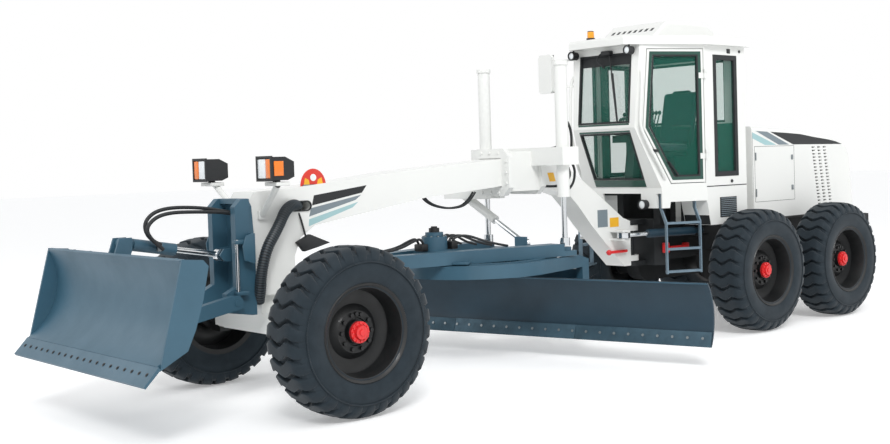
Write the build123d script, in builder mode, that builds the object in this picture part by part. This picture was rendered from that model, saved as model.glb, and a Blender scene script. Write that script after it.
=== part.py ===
"""Motor grader with a front dozer blade, in millimetres.

Frame: +X forward, +Y to the driver's left, +Z up. The origin is on the ground, midway between the ends.
The rear frame carries the cab, the engine and the tandem wheels. The front frame, hinged to it at the
hitch, carries the front axle, the dozer, and the drawbar with its circle and grading blade.
"""

import os
from math import cos, pi, radians, sin

from build123d import *

# Driving dimensions
WHEELBASE = 6220
TANDEM = 1550
FRONT_X = 3390
FRONT_TRACK = 1105
REAR_TRACK = 1030
TYRE_R = 670
TYRE_HALF = 222
TYRE_SIDES = 30
RIM_R = 350
BEAM_HALF = 160
HITCH_X = -1130
CIRCLE_X = 1090
CIRCLE_R = 760
CIRCLE_TURN = 14.6
BLADE_LENGTH = 4270
BLADE_SHIFT = 105
LIFT_X = 460
LIFT_Y = 560
FIT = 0.1
GAP = 8

# The tyres stand on the flat of one of their sides
AXLE_Z = TYRE_R * cos(pi / TYRE_SIDES)
TANDEM_X = FRONT_X - WHEELBASE
SIDES = {"left": 1, "right": -1}
WORLD = Plane.XY
CENTRED = (Align.CENTER, Align.CENTER, Align.MIN)

# Every wheel: name, centre in X, centre in Y
WHEELS = [
    (f"{row}_{side}", x, y * sign)
    for side, sign in SIDES.items()
    for row, x, y in (
        ("front", FRONT_X, FRONT_TRACK),
        ("mid", TANDEM_X + TANDEM / 2, REAR_TRACK),
        ("rear", TANDEM_X - TANDEM / 2, REAR_TRACK),
    )
]


def block(low, high, frame=WORLD, mode=Mode.ADD):
    """Adds a box from its lowest to its highest corner, in a frame."""
    centre = [(a + b) / 2 for a, b in zip(low, high)]
    with Locations(frame.location * Location(tuple(centre))):
        Box(*(b - a for a, b in zip(low, high)), mode=mode)


def profile(points, plane, depth, mode=Mode.ADD):
    """Adds the prism of a closed outline drawn on a plane."""
    with BuildSketch(plane) as outline:
        with BuildLine():
            Polyline(*points, close=True)
        make_face()
    extrude(outline.sketch, amount=depth, mode=mode)


def side_plate(points, y_low, y_high, frame=WORLD, mode=Mode.ADD):
    """Adds a plate whose outline is drawn in X and Z, as seen from the right."""
    origin = frame.from_local_coords((0, y_high, 0))
    plane = Plane(origin=origin, x_dir=frame.x_dir, z_dir=-frame.y_dir)
    profile(points, plane, y_high - y_low, mode)


def floor_plate(points, z_low, z_high, frame=WORLD, mode=Mode.ADD):
    """Adds a plate whose outline is drawn in X and Y, as seen from above."""
    origin = frame.from_local_coords((0, 0, z_low))
    plane = Plane(origin=origin, x_dir=frame.x_dir, z_dir=frame.z_dir)
    profile(points, plane, z_high - z_low, mode)


def rod(start, end, radius, mode=Mode.ADD):
    """Adds a round bar between two points."""
    along = Vector(*end) - Vector(*start)
    with Locations(Plane(origin=start, z_dir=along).location):
        Cylinder(radius, along.length, align=CENTRED, mode=mode)


def both_sides(near, far):
    """The span from near to far on the left, then the same one on the right."""
    return [(near, far), (-far, -near)]


def both(half):
    """A closed outline from its left half: the points, then their mirror images in reverse."""
    return [*half, *[(x, -y) for x, y in reversed(half)]]


os.makedirs("parts", exist_ok=True)

# ---------------------------------------------------------------- wheels
RIM_SIDES = 24
# Half of a tyre's cross-section, from its middle to its bead: distance from the middle, radius
TYRE_HALF_SECTION = [(150, TYRE_R), (TYRE_HALF, 560), (190, 385)]
TYRE_SECTION = [(-offset, radius) for offset, radius in reversed(TYRE_HALF_SECTION)] + TYRE_HALF_SECTION
LUG_DEPTH = 34
LUGS = TYRE_SIDES // 2
GROOVE_HALF = 20
# Centre line of a groove across the tread: shift round the tyre, distance from the middle
GROOVE_LINE = [(-24, -240), (28, 0), (-24, 240)]

with BuildPart() as groove:
    ahead = [(shift + GROOVE_HALF, offset) for shift, offset in GROOVE_LINE]
    behind = [(shift - GROOVE_HALF, offset) for shift, offset in GROOVE_LINE]
    profile([*ahead, *reversed(behind)], Plane.YZ.offset(TYRE_R - LUG_DEPTH), 2 * LUG_DEPTH)

with BuildPart() as tyre_pattern:
    for offset, radius in TYRE_SECTION:
        with BuildSketch(Plane.XY.offset(offset)):
            RegularPolygon(radius, TYRE_SIDES)
    loft(ruled=True)
    with BuildSketch(Plane.XY.offset(-TYRE_HALF)):
        RegularPolygon(RIM_R + 6, TYRE_SIDES)
    extrude(amount=2 * TYRE_HALF, mode=Mode.SUBTRACT)
    # A zig-zag groove at every second corner of the tread leaves a lug on each two flats
    with PolarLocations(0, LUGS):
        add(groove.part, mode=Mode.SUBTRACT)

FLANGE_R = 380
BARREL_IN_R = 328
SPINDLE_R = 60
HUB_IN = -90
HUB_OUT = 110
# Prisms of a rim: start, end, radius, and whether each adds or cuts
RIM_STEPS = [
    (-204, -190, FLANGE_R, Mode.ADD),
    (-190, 190, RIM_R - 2, Mode.ADD),
    (190, 204, FLANGE_R, Mode.ADD),
    (-204, 10, BARREL_IN_R, Mode.SUBTRACT),
    (34, 204, BARREL_IN_R, Mode.SUBTRACT),
    (HUB_IN, 10, 150, Mode.ADD),
    (34, HUB_OUT, 150, Mode.ADD),
    (HUB_OUT, 160, 85, Mode.ADD),
]

wheels = {}
for name, x, y in WHEELS:
    outward = 1 if y > 0 else -1
    hub_plane = Plane(origin=(x, y, AXLE_Z), x_dir=(1, 0, 0), z_dir=(0, outward, 0))

    with BuildPart() as tyre:
        with Locations(hub_plane.location):
            add(tyre_pattern.part)
    wheels[f"tyre_{name}"] = tyre

    with BuildPart() as rim:
        for start, end, radius, mode in RIM_STEPS:
            with BuildSketch(hub_plane.offset(start)):
                RegularPolygon(radius, RIM_SIDES)
            extrude(amount=end - start, mode=mode)
        with Locations(hub_plane.offset(HUB_IN).location):
            Cylinder(SPINDLE_R + FIT, 12 - HUB_IN, align=CENTRED, mode=Mode.SUBTRACT)
    wheels[f"rim_{name}"] = rim

# ---------------------------------------------------------------- rear frame
RAIL_Y = (220, 310)
HITCH_Z = (800, 1190)
CROSSHEAD_X = (-1390, -1270)
REAR_END_X = -5110
TOW_PIN = (-5060, 28)
ANCHOR = (-1700, 520, 1110)
CAB_FLOOR_Z = 1540

with BuildPart() as rear_chassis:
    rail = [
        (CROSSHEAD_X[0], 800), (CROSSHEAD_X[0], 1200), (-2300, 1120), (-4960, 1120), (-4960, 900),
        (-2300, 900), (-1800, 800),
    ]
    for near, far in both_sides(*RAIL_Y):
        side_plate(rail, near, far)
        # Posts that carry the cab
        block((-1380, near, 1190), (-1280, far, CAB_FLOOR_Z))
        block((-2200, near, 1100), (-2100, far, CAB_FLOOR_Z))
    # Crosshead, with its front corners cut off for the swing of the articulation cylinders
    crosshead = [(CROSSHEAD_X[0], RAIL_Y[1]), (CROSSHEAD_X[0] + 35, RAIL_Y[1]), (CROSSHEAD_X[1], 225)]
    floor_plate(both(crosshead), HITCH_Z[0] - 58, HITCH_Z[1] + 58)
    for x in (-2350, -3500, -4600):
        block((x, -RAIL_Y[0], 940), (x + 90, RAIL_Y[0], 1100))
    # Fork plates above and below the lugs of the front frame, with the hitch pin between them
    for low, high in ((HITCH_Z[0] - 58, HITCH_Z[0] - GAP), (HITCH_Z[1] + GAP, HITCH_Z[1] + 58)):
        block((CROSSHEAD_X[1], -100, low), (HITCH_X, 100, high))
        rod((HITCH_X, 0, low), (HITCH_X, 0, high), 100)
    rod((HITCH_X, 0, HITCH_Z[0] - 58), (HITCH_X, 0, HITCH_Z[1] + 58), 45)
    # Counterweight bumper at the back, with the hole of its towing pin
    floor_plate(both([(-4960, 640), (-5060, 640), (REAR_END_X, 560)]), 860, 1120)
    rod((TOW_PIN[0], 0, 850), (TOW_PIN[0], 0, 1130), TOW_PIN[1], mode=Mode.SUBTRACT)
    # Outriggers that carry the articulation cylinders
    for near, far in both_sides(RAIL_Y[1], 590):
        for low, high in ((ANCHOR[2] - 58, ANCHOR[2] - 33), (ANCHOR[2] + 33, ANCHOR[2] + 58)):
            block((-1770, near, low), (-1655, far, high))
    for sign in (1, -1):
        rod((ANCHOR[0], ANCHOR[1] * sign, ANCHOR[2] - 33), (ANCHOR[0], ANCHOR[1] * sign, ANCHOR[2] + 33), 25)

with BuildPart() as rear_axle:
    rod((TANDEM_X, -530, AXLE_Z), (TANDEM_X, 530, AXLE_Z), 130)
    rod((TANDEM_X - 230, 0, AXLE_Z), (TANDEM_X + 260, 0, AXLE_Z), 225)
    for near, far in both_sides(*RAIL_Y):
        block((TANDEM_X - 140, near, AXLE_Z), (TANDEM_X + 140, far, 900))

CASE_Y = (530, 720)
with BuildPart() as tandem_cases:
    for near, far in both_sides(*CASE_Y):
        with BuildSketch(Plane.XZ.offset(-far)) as case:
            with Locations((TANDEM_X, AXLE_Z)):
                SlotCenterToCenter(TANDEM, 400)
        extrude(case.sketch, amount=far - near)
    hub_y = REAR_TRACK + HUB_IN - GAP
    for sign in (1, -1):
        for x in (TANDEM_X - TANDEM / 2, TANDEM_X + TANDEM / 2):
            rod((x, (CASE_Y[1] - 5) * sign, AXLE_Z), (x, hub_y * sign, AXLE_Z), 130)
            rod((x, (CASE_Y[1] - 5) * sign, AXLE_Z), (x, REAR_TRACK * sign, AXLE_Z), SPINDLE_R)

with BuildPart() as engine_block:
    block((-4300, -300, 1120), (-3000, 300, 1900))
    block((-3000, -150, 935), (-2700, 150, 1500))
    block((-4590, -430, 1120), (-4480, 430, 1960))
    block((-4480, -60, 1300), (-4300, 60, 1420))

# ---------------------------------------------------------------- hood
HOOD_HALF = 600
HOOD_WALL = 30
# Side outline of the hood, from its lower front corner round to its lower back corner
HOOD_SIDE = [
    (-2600, 1180), (-2600, 2250), (-3610, 2200), (-4220, 2120), (-4610, 2025), (-4700, 1900), (-4790, 1180),
]
HOOD_INNER = [
    (-2630, 1180), (-2630, 2220), (-3610, 2170), (-4220, 2090), (-4595, 1998), (-4668, 1895), (-4756, 1180),
]
HOOD_EDGE_R = 45
# Vents in both sides: slot, rows and columns with their steps, and the shift of a row from the one above
VENT_SLOT = (62, 18)
VENT_TOP = (-3835, 2000)
VENT_ROWS = 18
VENT_STEP = (-125, -41)
VENT_SHIFT = -7

with BuildPart() as vents:
    for row in range(VENT_ROWS):
        for column in range(3):
            x = VENT_TOP[0] + column * VENT_STEP[0] + row * VENT_SHIFT
            z = VENT_TOP[1] + row * VENT_STEP[1]
            block((x - VENT_SLOT[0], -HOOD_HALF - 10, z - VENT_SLOT[1]), (x, HOOD_HALF + 10, z))
    # Radiator grille at the back
    for z in range(1290, 1820, 75):
        block((-4850, -400, z), (-4600, 400, z + 34))

with BuildPart() as hood:
    side_plate(HOOD_SIDE, -HOOD_HALF, HOOD_HALF)
    rim_edges = [edge for edge in hood.edges() if abs(edge.center().Y) > HOOD_HALF - 1]
    fillet([edge for edge in rim_edges if edge.center().Z > 1500 and edge.center().X < -2700], HOOD_EDGE_R)
    side_plate(HOOD_INNER, HOOD_WALL - HOOD_HALF, HOOD_HALF - HOOD_WALL, mode=Mode.SUBTRACT)
    add(vents.part, mode=Mode.SUBTRACT)
    # Feet on the chassis rails
    for x in (-2760, -4780):
        for near, far in both_sides(RAIL_Y[0], HOOD_HALF):
            block((x, near, 1120), (x + 120, far, 1180))

# ---------------------------------------------------------------- cab
CAB_Z = (1600, 3120)
CAB_WALL = 55
DOOR_REAR = (-1490, 800)
CAB_REAR_X = -2210
CAB_CORNER = (-740, 445)
CAB_FRONT = [(-1010, CAB_Z[0]), (CAB_CORNER[0], 2250), (-815, CAB_Z[1])]
DOOR_SLOPE = (DOOR_REAR[1] - CAB_CORNER[1]) / (DOOR_REAR[0] - CAB_CORNER[0])


def cab_plan(x_front, inset=0):
    """Outline of the cab from above, pulled in by an inset."""
    y_front = CAB_CORNER[1] + (x_front - CAB_CORNER[0]) * DOOR_SLOPE
    half = [(x_front, y_front - inset * 1.1), (DOOR_REAR[0] - inset * 0.23, DOOR_REAR[1] - inset)]
    half.append((CAB_REAR_X + inset, DOOR_REAR[1] - inset))
    return both(half)


def cab_front_x(z, back=0):
    """Outer face of the front wall at a height, moved back by a distance."""
    (x0, z0), (x1, z1), (x2, z2) = CAB_FRONT
    if z < z1:
        return x0 + (x1 - x0) * (z - z0) / (z1 - z0) - back
    return x1 + (x2 - x1) * (z - z1) / (z2 - z1) - back


# The left door's wall: X forward along it from its hinge corner, Y out of the cab, Z up
door_along = Vector(CAB_CORNER[0] - DOOR_REAR[0], CAB_CORNER[1] - DOOR_REAR[1], 0)
DOOR_FRAME = Plane(origin=(*DOOR_REAR, 0), x_dir=door_along, z_dir=(0, 0, 1))
# Door outline on the wall: distance forward of its hinge corner, height
DOOR_OUTLINE = [(15, 1650), (415, 1650), (728, 2250), (660, 3070), (15, 3070)]
DOOR_GLASS = [(75, 1715), (380, 1715), (665, 2255), (603, 3012), (75, 3012)]
DOOR_THICK = 45
# Hinge pin of the door, out from its rear corner, and the heights of its knuckles
HINGE_OUT = 15
KNUCKLES = (1900, 2760)


def grown(points, by):
    """Door outline with each point moved outwards from the door's middle."""
    u_mid, z_mid = (370, 2360)
    return [(u + by * (1 if u > u_mid else -1), z + by * (1 if z > z_mid else -1)) for u, z in points]


# Cab windows: lower and upper height and half width of those in front, the pair at the sides, the rear one
FRONT_PANES = [(1690, 2200, 370), (2300, 3050, 375)]
QUARTER = (-2065, -1640, 1700, 3020)
REAR_PANE = (2300, 3000, 560)

with BuildPart() as cab_space:
    floor_plate(cab_plan(CAB_CORNER[0] - CAB_WALL, CAB_WALL), *CAB_Z)
    inner = [(cab_front_x(z, CAB_WALL * 1.08), z) for z in (CAB_Z[0], CAB_FRONT[1][1], CAB_Z[1])]
    side_plate([(-3000, CAB_Z[0]), *inner, (-3000, CAB_Z[1])], -900, 900, mode=Mode.INTERSECT)

with BuildPart() as doorway:
    side_plate(grown(DOOR_OUTLINE, GAP), -CAB_WALL - 40, 20, DOOR_FRAME)

# Mirror beside the cab's right front corner: middle of its housing, and where its two arms meet the wall
MIRROR = (-650, -756)
MIRROR_FOOT = (-831, -472)
MIRROR_Z = (2670, 3100)
with BuildPart() as mirror_right:
    block((MIRROR[0] - 20, MIRROR[1] - 105, MIRROR_Z[0]), (MIRROR[0] + 20, MIRROR[1] + 105, MIRROR_Z[1]))
    fillet(mirror_right.edges().filter_by(Axis.X), 40)
    for z in (MIRROR_Z[0] + 70, MIRROR_Z[1] - 70):
        rod((MIRROR[0] - 15, MIRROR[1] + 60, z), (*MIRROR_FOOT, z), 11)

with BuildPart() as cab_frame:
    floor_plate(cab_plan(CAB_CORNER[0]), *CAB_Z)
    side_plate([(-3000, CAB_Z[0]), *CAB_FRONT, (-3000, CAB_Z[1])], -900, 900, mode=Mode.INTERSECT)
    add(cab_space.part, mode=Mode.SUBTRACT)
    for low, high, half in FRONT_PANES:
        block((-1200, -half, low), (-600, half, high), mode=Mode.SUBTRACT)
    x0, x1, low, high = QUARTER
    block((x0, -900, low), (x1, 900, high), mode=Mode.SUBTRACT)
    low, high, half = REAR_PANE
    block((CAB_REAR_X - 10, -half, low), (CAB_REAR_X + CAB_WALL + 10, half, high), mode=Mode.SUBTRACT)
    add(doorway.part, mode=Mode.SUBTRACT)
    mirror(doorway.part, about=Plane.XZ, mode=Mode.SUBTRACT)
    add(mirror_right.part)
    # Hinge lugs above the doors' knuckles, each with its pin
    hinge_x, hinge_y, _ = DOOR_FRAME.from_local_coords((0, HINGE_OUT, 0))
    for sign in (1, -1):
        for z in KNUCKLES:
            rod((hinge_x, hinge_y * sign, z), (hinge_x, hinge_y * sign, z + 98), 7)
            rod((hinge_x, hinge_y * sign, z + 68), (hinge_x, hinge_y * sign, z + 98), 14)
    for near, far in both_sides(DOOR_REAR[1] - 5, DOOR_REAR[1] + 12):
        for z in KNUCKLES:
            block((hinge_x - 46, near, z + 68), (hinge_x, far, z + 98))

GLASS = (20, 28)
with BuildPart() as cab_glass:
    for low, high, half in FRONT_PANES:
        pane = [(cab_front_x(z, GLASS[0]), z) for z in (low, high)]
        pane += [(cab_front_x(z, GLASS[1]), z) for z in (high, low)]
        side_plate(pane, -half, half)
    x0, x1, low, high = QUARTER
    for near, far in both_sides(DOOR_REAR[1] - GLASS[1], DOOR_REAR[1] - GLASS[0]):
        block((x0, near, low), (x1, far, high))
    low, high, half = REAR_PANE
    block((CAB_REAR_X + GLASS[0], -half, low), (CAB_REAR_X + GLASS[1], half, high))

with BuildPart() as door_left:
    side_plate(DOOR_OUTLINE, -DOOR_THICK, 0, DOOR_FRAME)
    side_plate(DOOR_GLASS, -DOOR_THICK - 5, 5, DOOR_FRAME, mode=Mode.SUBTRACT)
    for z in KNUCKLES:
        block((8, 0, z), (70, 8, z + 60), DOOR_FRAME)
        rod((hinge_x, hinge_y, z), (hinge_x, hinge_y, z + 60), 14)
        rod((hinge_x, hinge_y, z), (hinge_x, hinge_y, z + 60), 7 + FIT, mode=Mode.SUBTRACT)
with BuildPart() as door_glass_left:
    side_plate(DOOR_GLASS, -GLASS[1], -GLASS[0], DOOR_FRAME)
with BuildPart() as door_right:
    mirror(door_left.part, about=Plane.XZ)
with BuildPart() as door_glass_right:
    mirror(door_glass_left.part, about=Plane.XZ)

ROOF_TOP = 3215
UNIT_SIDE = [(-2150, 3210), (-2120, 3330), (-2000, 3395), (-1300, 3395), (-1050, 3210)]
UNIT_Y = (-330, 460)
with BuildPart() as roof_unit:
    side_plate(UNIT_SIDE, *UNIT_Y)
    fillet([edge for edge in roof_unit.edges() if edge.center().Z > 3220], 26)
    # Air slots across its front slope
    for y in range(UNIT_Y[0] + 90, UNIT_Y[1] - 80, 80):
        block((-1215, y, 3290), (-1160, y + 46, 3360), mode=Mode.SUBTRACT)

with BuildPart() as cab_roof:
    floor_plate(both([(-655, 395), (-700, 440), (-1490, 860), (-2270, 860)]), CAB_Z[1], ROOF_TOP)
    fillet(cab_roof.faces().sort_by(Axis.Z)[-1].edges(), 32)
    add(roof_unit.part)

# Round lamps of the cab: back and front in X, centre in Y and Z, radius, top of the stem
LAMPS = [(-775, -700, 405, 3062, 44, CAB_Z[1]), (-1010, -950, 345, 1425, 50, 1470)]
BEACON = (-730, -137)
with BuildPart() as cab_lamps:
    rod((*BEACON, ROOF_TOP), (*BEACON, ROOF_TOP + 18), 44)
    rod((*BEACON, ROOF_TOP + 10), (*BEACON, ROOF_TOP + 95), 34)
    for back, front, y, z, radius, stem_top in LAMPS:
        for sign in (1, -1):
            rod((back, y * sign, z), (front, y * sign, z), radius)
            rod((front - 35, y * sign, z), (front - 35, y * sign, stem_top), 9)

# Skirt under a door, on the door's wall, and the tank behind the ladder, on the straight wall
SKIRT = [(-10, 1540), (-10, 1450), (430, 1450), (440, 1385), (530, 1385), (530, 1540)]
TANK = [(-1490, 1540), (-1490, 1440), (-1555, 1180), (CAB_REAR_X, 1180), (CAB_REAR_X, 1540)]
with BuildPart() as skirt:
    side_plate(SKIRT, -30, 0, DOOR_FRAME)
    side_plate(TANK, 440, DOOR_REAR[1])
    block((-1040, 280, 1385), (-1010, 500, CAB_FLOOR_Z + 10))

with BuildPart() as cab_base:
    floor_plate(cab_plan(CAB_FRONT[0][0]), CAB_FLOOR_Z, CAB_Z[0])
    add(skirt.part)
    mirror(skirt.part, about=Plane.XZ)

# Rail of a ladder, seen along the door's wall: out from the wall, height; then the two rails and the steps
RAIL_SIDE = [
    (-95, 1540), (-95, 1385), (35, 1215), (35, 690), (80, 690), (80, 1240), (-35, 1378), (-35, 1540),
]
RAIL_U = (115, 510)
STEP_Z = (700, 940, 1215)
with BuildPart() as ladder_left:
    for u in RAIL_U:
        origin = DOOR_FRAME.from_local_coords((u, 0, 0))
        across = Plane(origin=origin, x_dir=DOOR_FRAME.y_dir, z_dir=DOOR_FRAME.x_dir)
        profile(RAIL_SIDE, across, 14)
    for z in STEP_Z:
        block((RAIL_U[0] + 10, 36, z), (RAIL_U[1] + 4, 80, z + 24), DOOR_FRAME)
with BuildPart() as ladders:
    add(ladder_left.part)
    mirror(ladder_left.part, about=Plane.XZ)

with BuildPart() as driver_seat:
    block((-1905, -260, 1960), (-1380, 260, 2070))
    side_plate([(-1900, 1960), (-1900, 2070), (-2040, 2700), (-2130, 2700), (-2010, 1960)], -250, 250)
    block((-1800, -170, 1600), (-1480, 170, 1960))

with BuildPart() as control_console:
    side_plate([(-1110, 1600), (-1200, 2140), (-1300, 2140), (-1230, 1600)], -60, 60)
    block((-1290, -260, 2100), (-1170, 260, 2180))
    side_plate([(-1230, 2150), (-1260, 2290), (-1320, 2270), (-1290, 2150)], -30, 30)
    wheel_plane = Plane(origin=(-1290, 0, 2285), x_dir=(0, 1, 0), z_dir=(-0.35, 0, 0.94))
    with BuildSketch(wheel_plane) as steering_wheel:
        RegularPolygon(205, 24)
        RegularPolygon(178, 24, mode=Mode.SUBTRACT)
        Rectangle(370, 36)
    extrude(steering_wheel.sketch, amount=22)

# ---------------------------------------------------------------- front frame
BEAM_TOP = [(3680, 1690), (3640, 1750), (3250, 1772), (2700, 1820), (2150, 1876), (840, 1966), (330, 1950)]
BEAM_UNDER = [(830, 1700), (1860, 1625), (3060, 1445), (3210, 1350), (3270, 1200), (3270, 900), (3680, 900)]
NECK_TOP = [(-118, 1803), (-264, 1705), (-639, 1447), (-872, 1285), (-985, 1246)]
NECK_UNDER = [(-985, 760), (-880, 760), (-580, 1035), (-370, 1240), (-190, 1440), (-60, 1560), (300, 1665)]
NECK_HALF = 135
NECK_FRONT_X = 560
BALL = (3130, 0, 1000)
NOSE_HOLE = (3195, 1615)
EAR = (-720, 270, 1110)

with BuildPart() as front_frame:
    beam = [*BEAM_TOP[:6], (NECK_FRONT_X, 1966), (NECK_FRONT_X, 1685), *BEAM_UNDER]
    side_plate(beam, -BEAM_HALF, BEAM_HALF)
    neck = [(NECK_FRONT_X, 1966), BEAM_TOP[6], *NECK_TOP, *NECK_UNDER, (NECK_FRONT_X, 1685)]
    side_plate(neck, -NECK_HALF, NECK_HALF)
    # Lugs that turn on the hitch pin
    for low, high in ((HITCH_Z[0], HITCH_Z[0] + 60), (HITCH_Z[1] - 60, HITCH_Z[1])):
        block((HITCH_X, -90, low), (-980, 90, high))
        rod((HITCH_X, 0, low), (HITCH_X, 0, high), 90)
    rod((HITCH_X, 0, 700), (HITCH_X, 0, 1300), 45 + FIT, mode=Mode.SUBTRACT)
    # Forks for the articulation cylinders' rods, each with its pin
    for near, far in both_sides(NECK_HALF - 5, EAR[1] + 45):
        for low, high in ((EAR[2] - 53, EAR[2] - 33), (EAR[2] + 33, EAR[2] + 53)):
            block((EAR[0] - 60, near, low), (EAR[0] + 60, far, high))
    for sign in (1, -1):
        rod((EAR[0], EAR[1] * sign, EAR[2] - 40), (EAR[0], EAR[1] * sign, EAR[2] + 40), 18)
    # Oval hole through the nose for the hoses
    with BuildSketch(Plane.XZ.offset(-BEAM_HALF - 5)) as nose_hole:
        with Locations(NOSE_HOLE):
            SlotOverall(210, 90)
    extrude(nose_hole.sketch, amount=2 * BEAM_HALF + 10, mode=Mode.SUBTRACT)
    # Bracket behind the nose for the drawbar's ball
    block((BALL[0] + 78, -70, 930), (3275, 70, 1070))
    rod(BALL, (BALL[0] + 80, 0, BALL[2]), 30)
    with Locations(BALL):
        Sphere(55)

# ---------------------------------------------------------------- lift cylinders and their saddle
BARREL_R = 62
BARREL_Z = (1573, 2890)
ROD_R = 27
SWING_X = 650
SWING_PIVOT = (SWING_X, -800, 1640)
SWING_EYE = (SWING_X, 200, 1120)

# Outline of a flange across the beam
FLANGE = [
    (-270, 1680), (-190, 1600), (190, 1600), (270, 1680),
    (270, 1980), (190, 2060), (-190, 2060), (-270, 1980),
]
CAP_R = 74

with BuildPart() as lift_saddle:
    # Two flanges round the beam, the box between them, then an arm out to each lift cylinder
    for x in (440, 880):
        profile(FLANGE, Plane.YZ.offset(x - 30), 60)
    block((440, -230, 1640), (880, 230, 2030))
    for near, far in both_sides(225, LIFT_Y + 110):
        block((LIFT_X - 110, near, 1885), (LIFT_X + 110, far, 2060))
    # Fork down to the right for the side-swing cylinder
    block((SWING_X - 130, -880, 1560), (SWING_X - 60, -225, 1700))
    block((SWING_X + 60, -880, 1560), (SWING_X + 130, -225, 1700))
    rod((SWING_X - 65, *SWING_PIVOT[1:]), (SWING_X + 65, *SWING_PIVOT[1:]), 25)
    block((400, -NECK_HALF, 1672), (562, NECK_HALF, 1966), mode=Mode.SUBTRACT)
    block((560, -BEAM_HALF, 1685), (1000, BEAM_HALF, 1966), mode=Mode.SUBTRACT)
    for sign in (1, -1):
        rod((LIFT_X, LIFT_Y * sign, 1500), (LIFT_X, LIFT_Y * sign, 2200), BARREL_R, mode=Mode.SUBTRACT)

with BuildPart() as lift_barrels:
    for sign in (1, -1):
        base = (LIFT_X, LIFT_Y * sign, BARREL_Z[0])
        rod(base, (LIFT_X, LIFT_Y * sign, BARREL_Z[1]), BARREL_R)
        rod((LIFT_X, LIFT_Y * sign, BARREL_Z[1] - 35), (LIFT_X, LIFT_Y * sign, BARREL_Z[1]), CAP_R)
        rod(base, (LIFT_X, LIFT_Y * sign, BARREL_Z[1] - 20), ROD_R + 1, mode=Mode.SUBTRACT)

PEDESTAL_Z = 1085
with BuildPart() as lift_rods:
    for sign in (1, -1):
        rod((LIFT_X, LIFT_Y * sign, 1150), (LIFT_X, LIFT_Y * sign, 2600), ROD_R)
        rod((LIFT_X, LIFT_Y * sign, PEDESTAL_Z + 12), (LIFT_X, LIFT_Y * sign, 1175), 50)

LAMP_SIDE = [(3740, 1845), (3740, 2030), (3620, 2030), (3540, 1990), (3540, 1870), (3600, 1845)]
with BuildPart() as headlamps:
    # A pad on the nose, a slanted strut and a flat foot carry each lamp's box with its tapered back
    for near, far in both_sides(BEAM_HALF, 192):
        block((3550, near, 1530), (3610, far, 1590))
    for sign in (1, -1):
        rod((3580, 179 * sign, 1560), (3620, 505 * sign, 1815), 24)
        near, far = sorted((430 * sign, 600 * sign))
        block((3575, near, 1805), (3690, far, 1830))
        rod((3640, 515 * sign, 1820), (3640, 515 * sign, 1850), 30)
    for near, far in both_sides(410, 620):
        side_plate(LAMP_SIDE, near, far)

# ---------------------------------------------------------------- front axle
LEAN_Y, LEAN_Z = (760, 620)
LEAN_TOP = 860
KING_Y = 880
TIE_X = FRONT_X - 150
AXLE_OUTLINE = [
    (-690, 555), (690, 555), (690, 680), (420, 700), (260, 800), (-260, 800), (-420, 700), (-690, 680),
]

with BuildPart() as front_axle:
    profile(AXLE_OUTLINE, Plane.YZ.offset(FRONT_X - 90), 180)
    block((FRONT_X - 170, -90, 740), (FRONT_X + 170, 90, 900))
    block((FRONT_X - 25, -95, 835), (FRONT_X + 25, 95, 885), mode=Mode.SUBTRACT)
    for sign in (1, -1):
        near, far = sorted((685 * sign, LEAN_Y * sign))
        for back, front in both_sides(52, 90):
            block((FRONT_X + back, near, 560), (FRONT_X + front, far, 680))
            rod((FRONT_X + back, LEAN_Y * sign, LEAN_Z), (FRONT_X + front, LEAN_Y * sign, LEAN_Z), 60)
        rod((FRONT_X - 90, LEAN_Y * sign, LEAN_Z), (FRONT_X + 90, LEAN_Y * sign, LEAN_Z), 24)

LEAN_OUTLINE = [
    (730, 640), (730, 900), (790, 900), (800, 780), (870, 780), (870, 590), (760, 575),
]
with BuildPart() as lean_left:
    profile(LEAN_OUTLINE, Plane.YZ.offset(FRONT_X - 44), 88)
    rod((FRONT_X - 44, LEAN_Y, LEAN_Z), (FRONT_X + 44, LEAN_Y, LEAN_Z), 55)
    rod((FRONT_X, KING_Y, 560), (FRONT_X, KING_Y, 780), 60)
    rod((FRONT_X - 50, LEAN_Y, LEAN_Z), (FRONT_X + 50, LEAN_Y, LEAN_Z), 24 + FIT, mode=Mode.SUBTRACT)
    rod((FRONT_X, KING_Y, 500), (FRONT_X, KING_Y, 840), 30 + FIT, mode=Mode.SUBTRACT)
with BuildPart() as lean_right:
    mirror(lean_left.part, about=Plane.XZ)

with BuildPart() as knuckle_left:
    rod((FRONT_X, KING_Y, 500), (FRONT_X, KING_Y, 840), 30)
    for low, high in ((500, 552), (788, 840)):
        block((FRONT_X - 50, KING_Y - 50, low), (FRONT_X + 50, KING_Y + 90, high))
    block((FRONT_X - 50, KING_Y + 68, 500), (FRONT_X + 50, KING_Y + 100, 840))
    hub_y = FRONT_TRACK + HUB_IN - GAP
    rod((FRONT_X, KING_Y + 70, AXLE_Z), (FRONT_X, hub_y, AXLE_Z), 100)
    rod((FRONT_X, KING_Y + 70, AXLE_Z), (FRONT_X, FRONT_TRACK, AXLE_Z), SPINDLE_R)
    # Steering arm
    block((TIE_X - 30, KING_Y - 40, 505), (FRONT_X - 45, KING_Y + 20, 540))
with BuildPart() as knuckle_right:
    mirror(knuckle_left.part, about=Plane.XZ)

with BuildPart() as tie_rod:
    rod((TIE_X, -860, LEAN_Z), (TIE_X, 860, LEAN_Z), 18)
with BuildPart() as lean_bar:
    rod((FRONT_X, -720, LEAN_TOP), (FRONT_X, 720, LEAN_TOP), 12)

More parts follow.
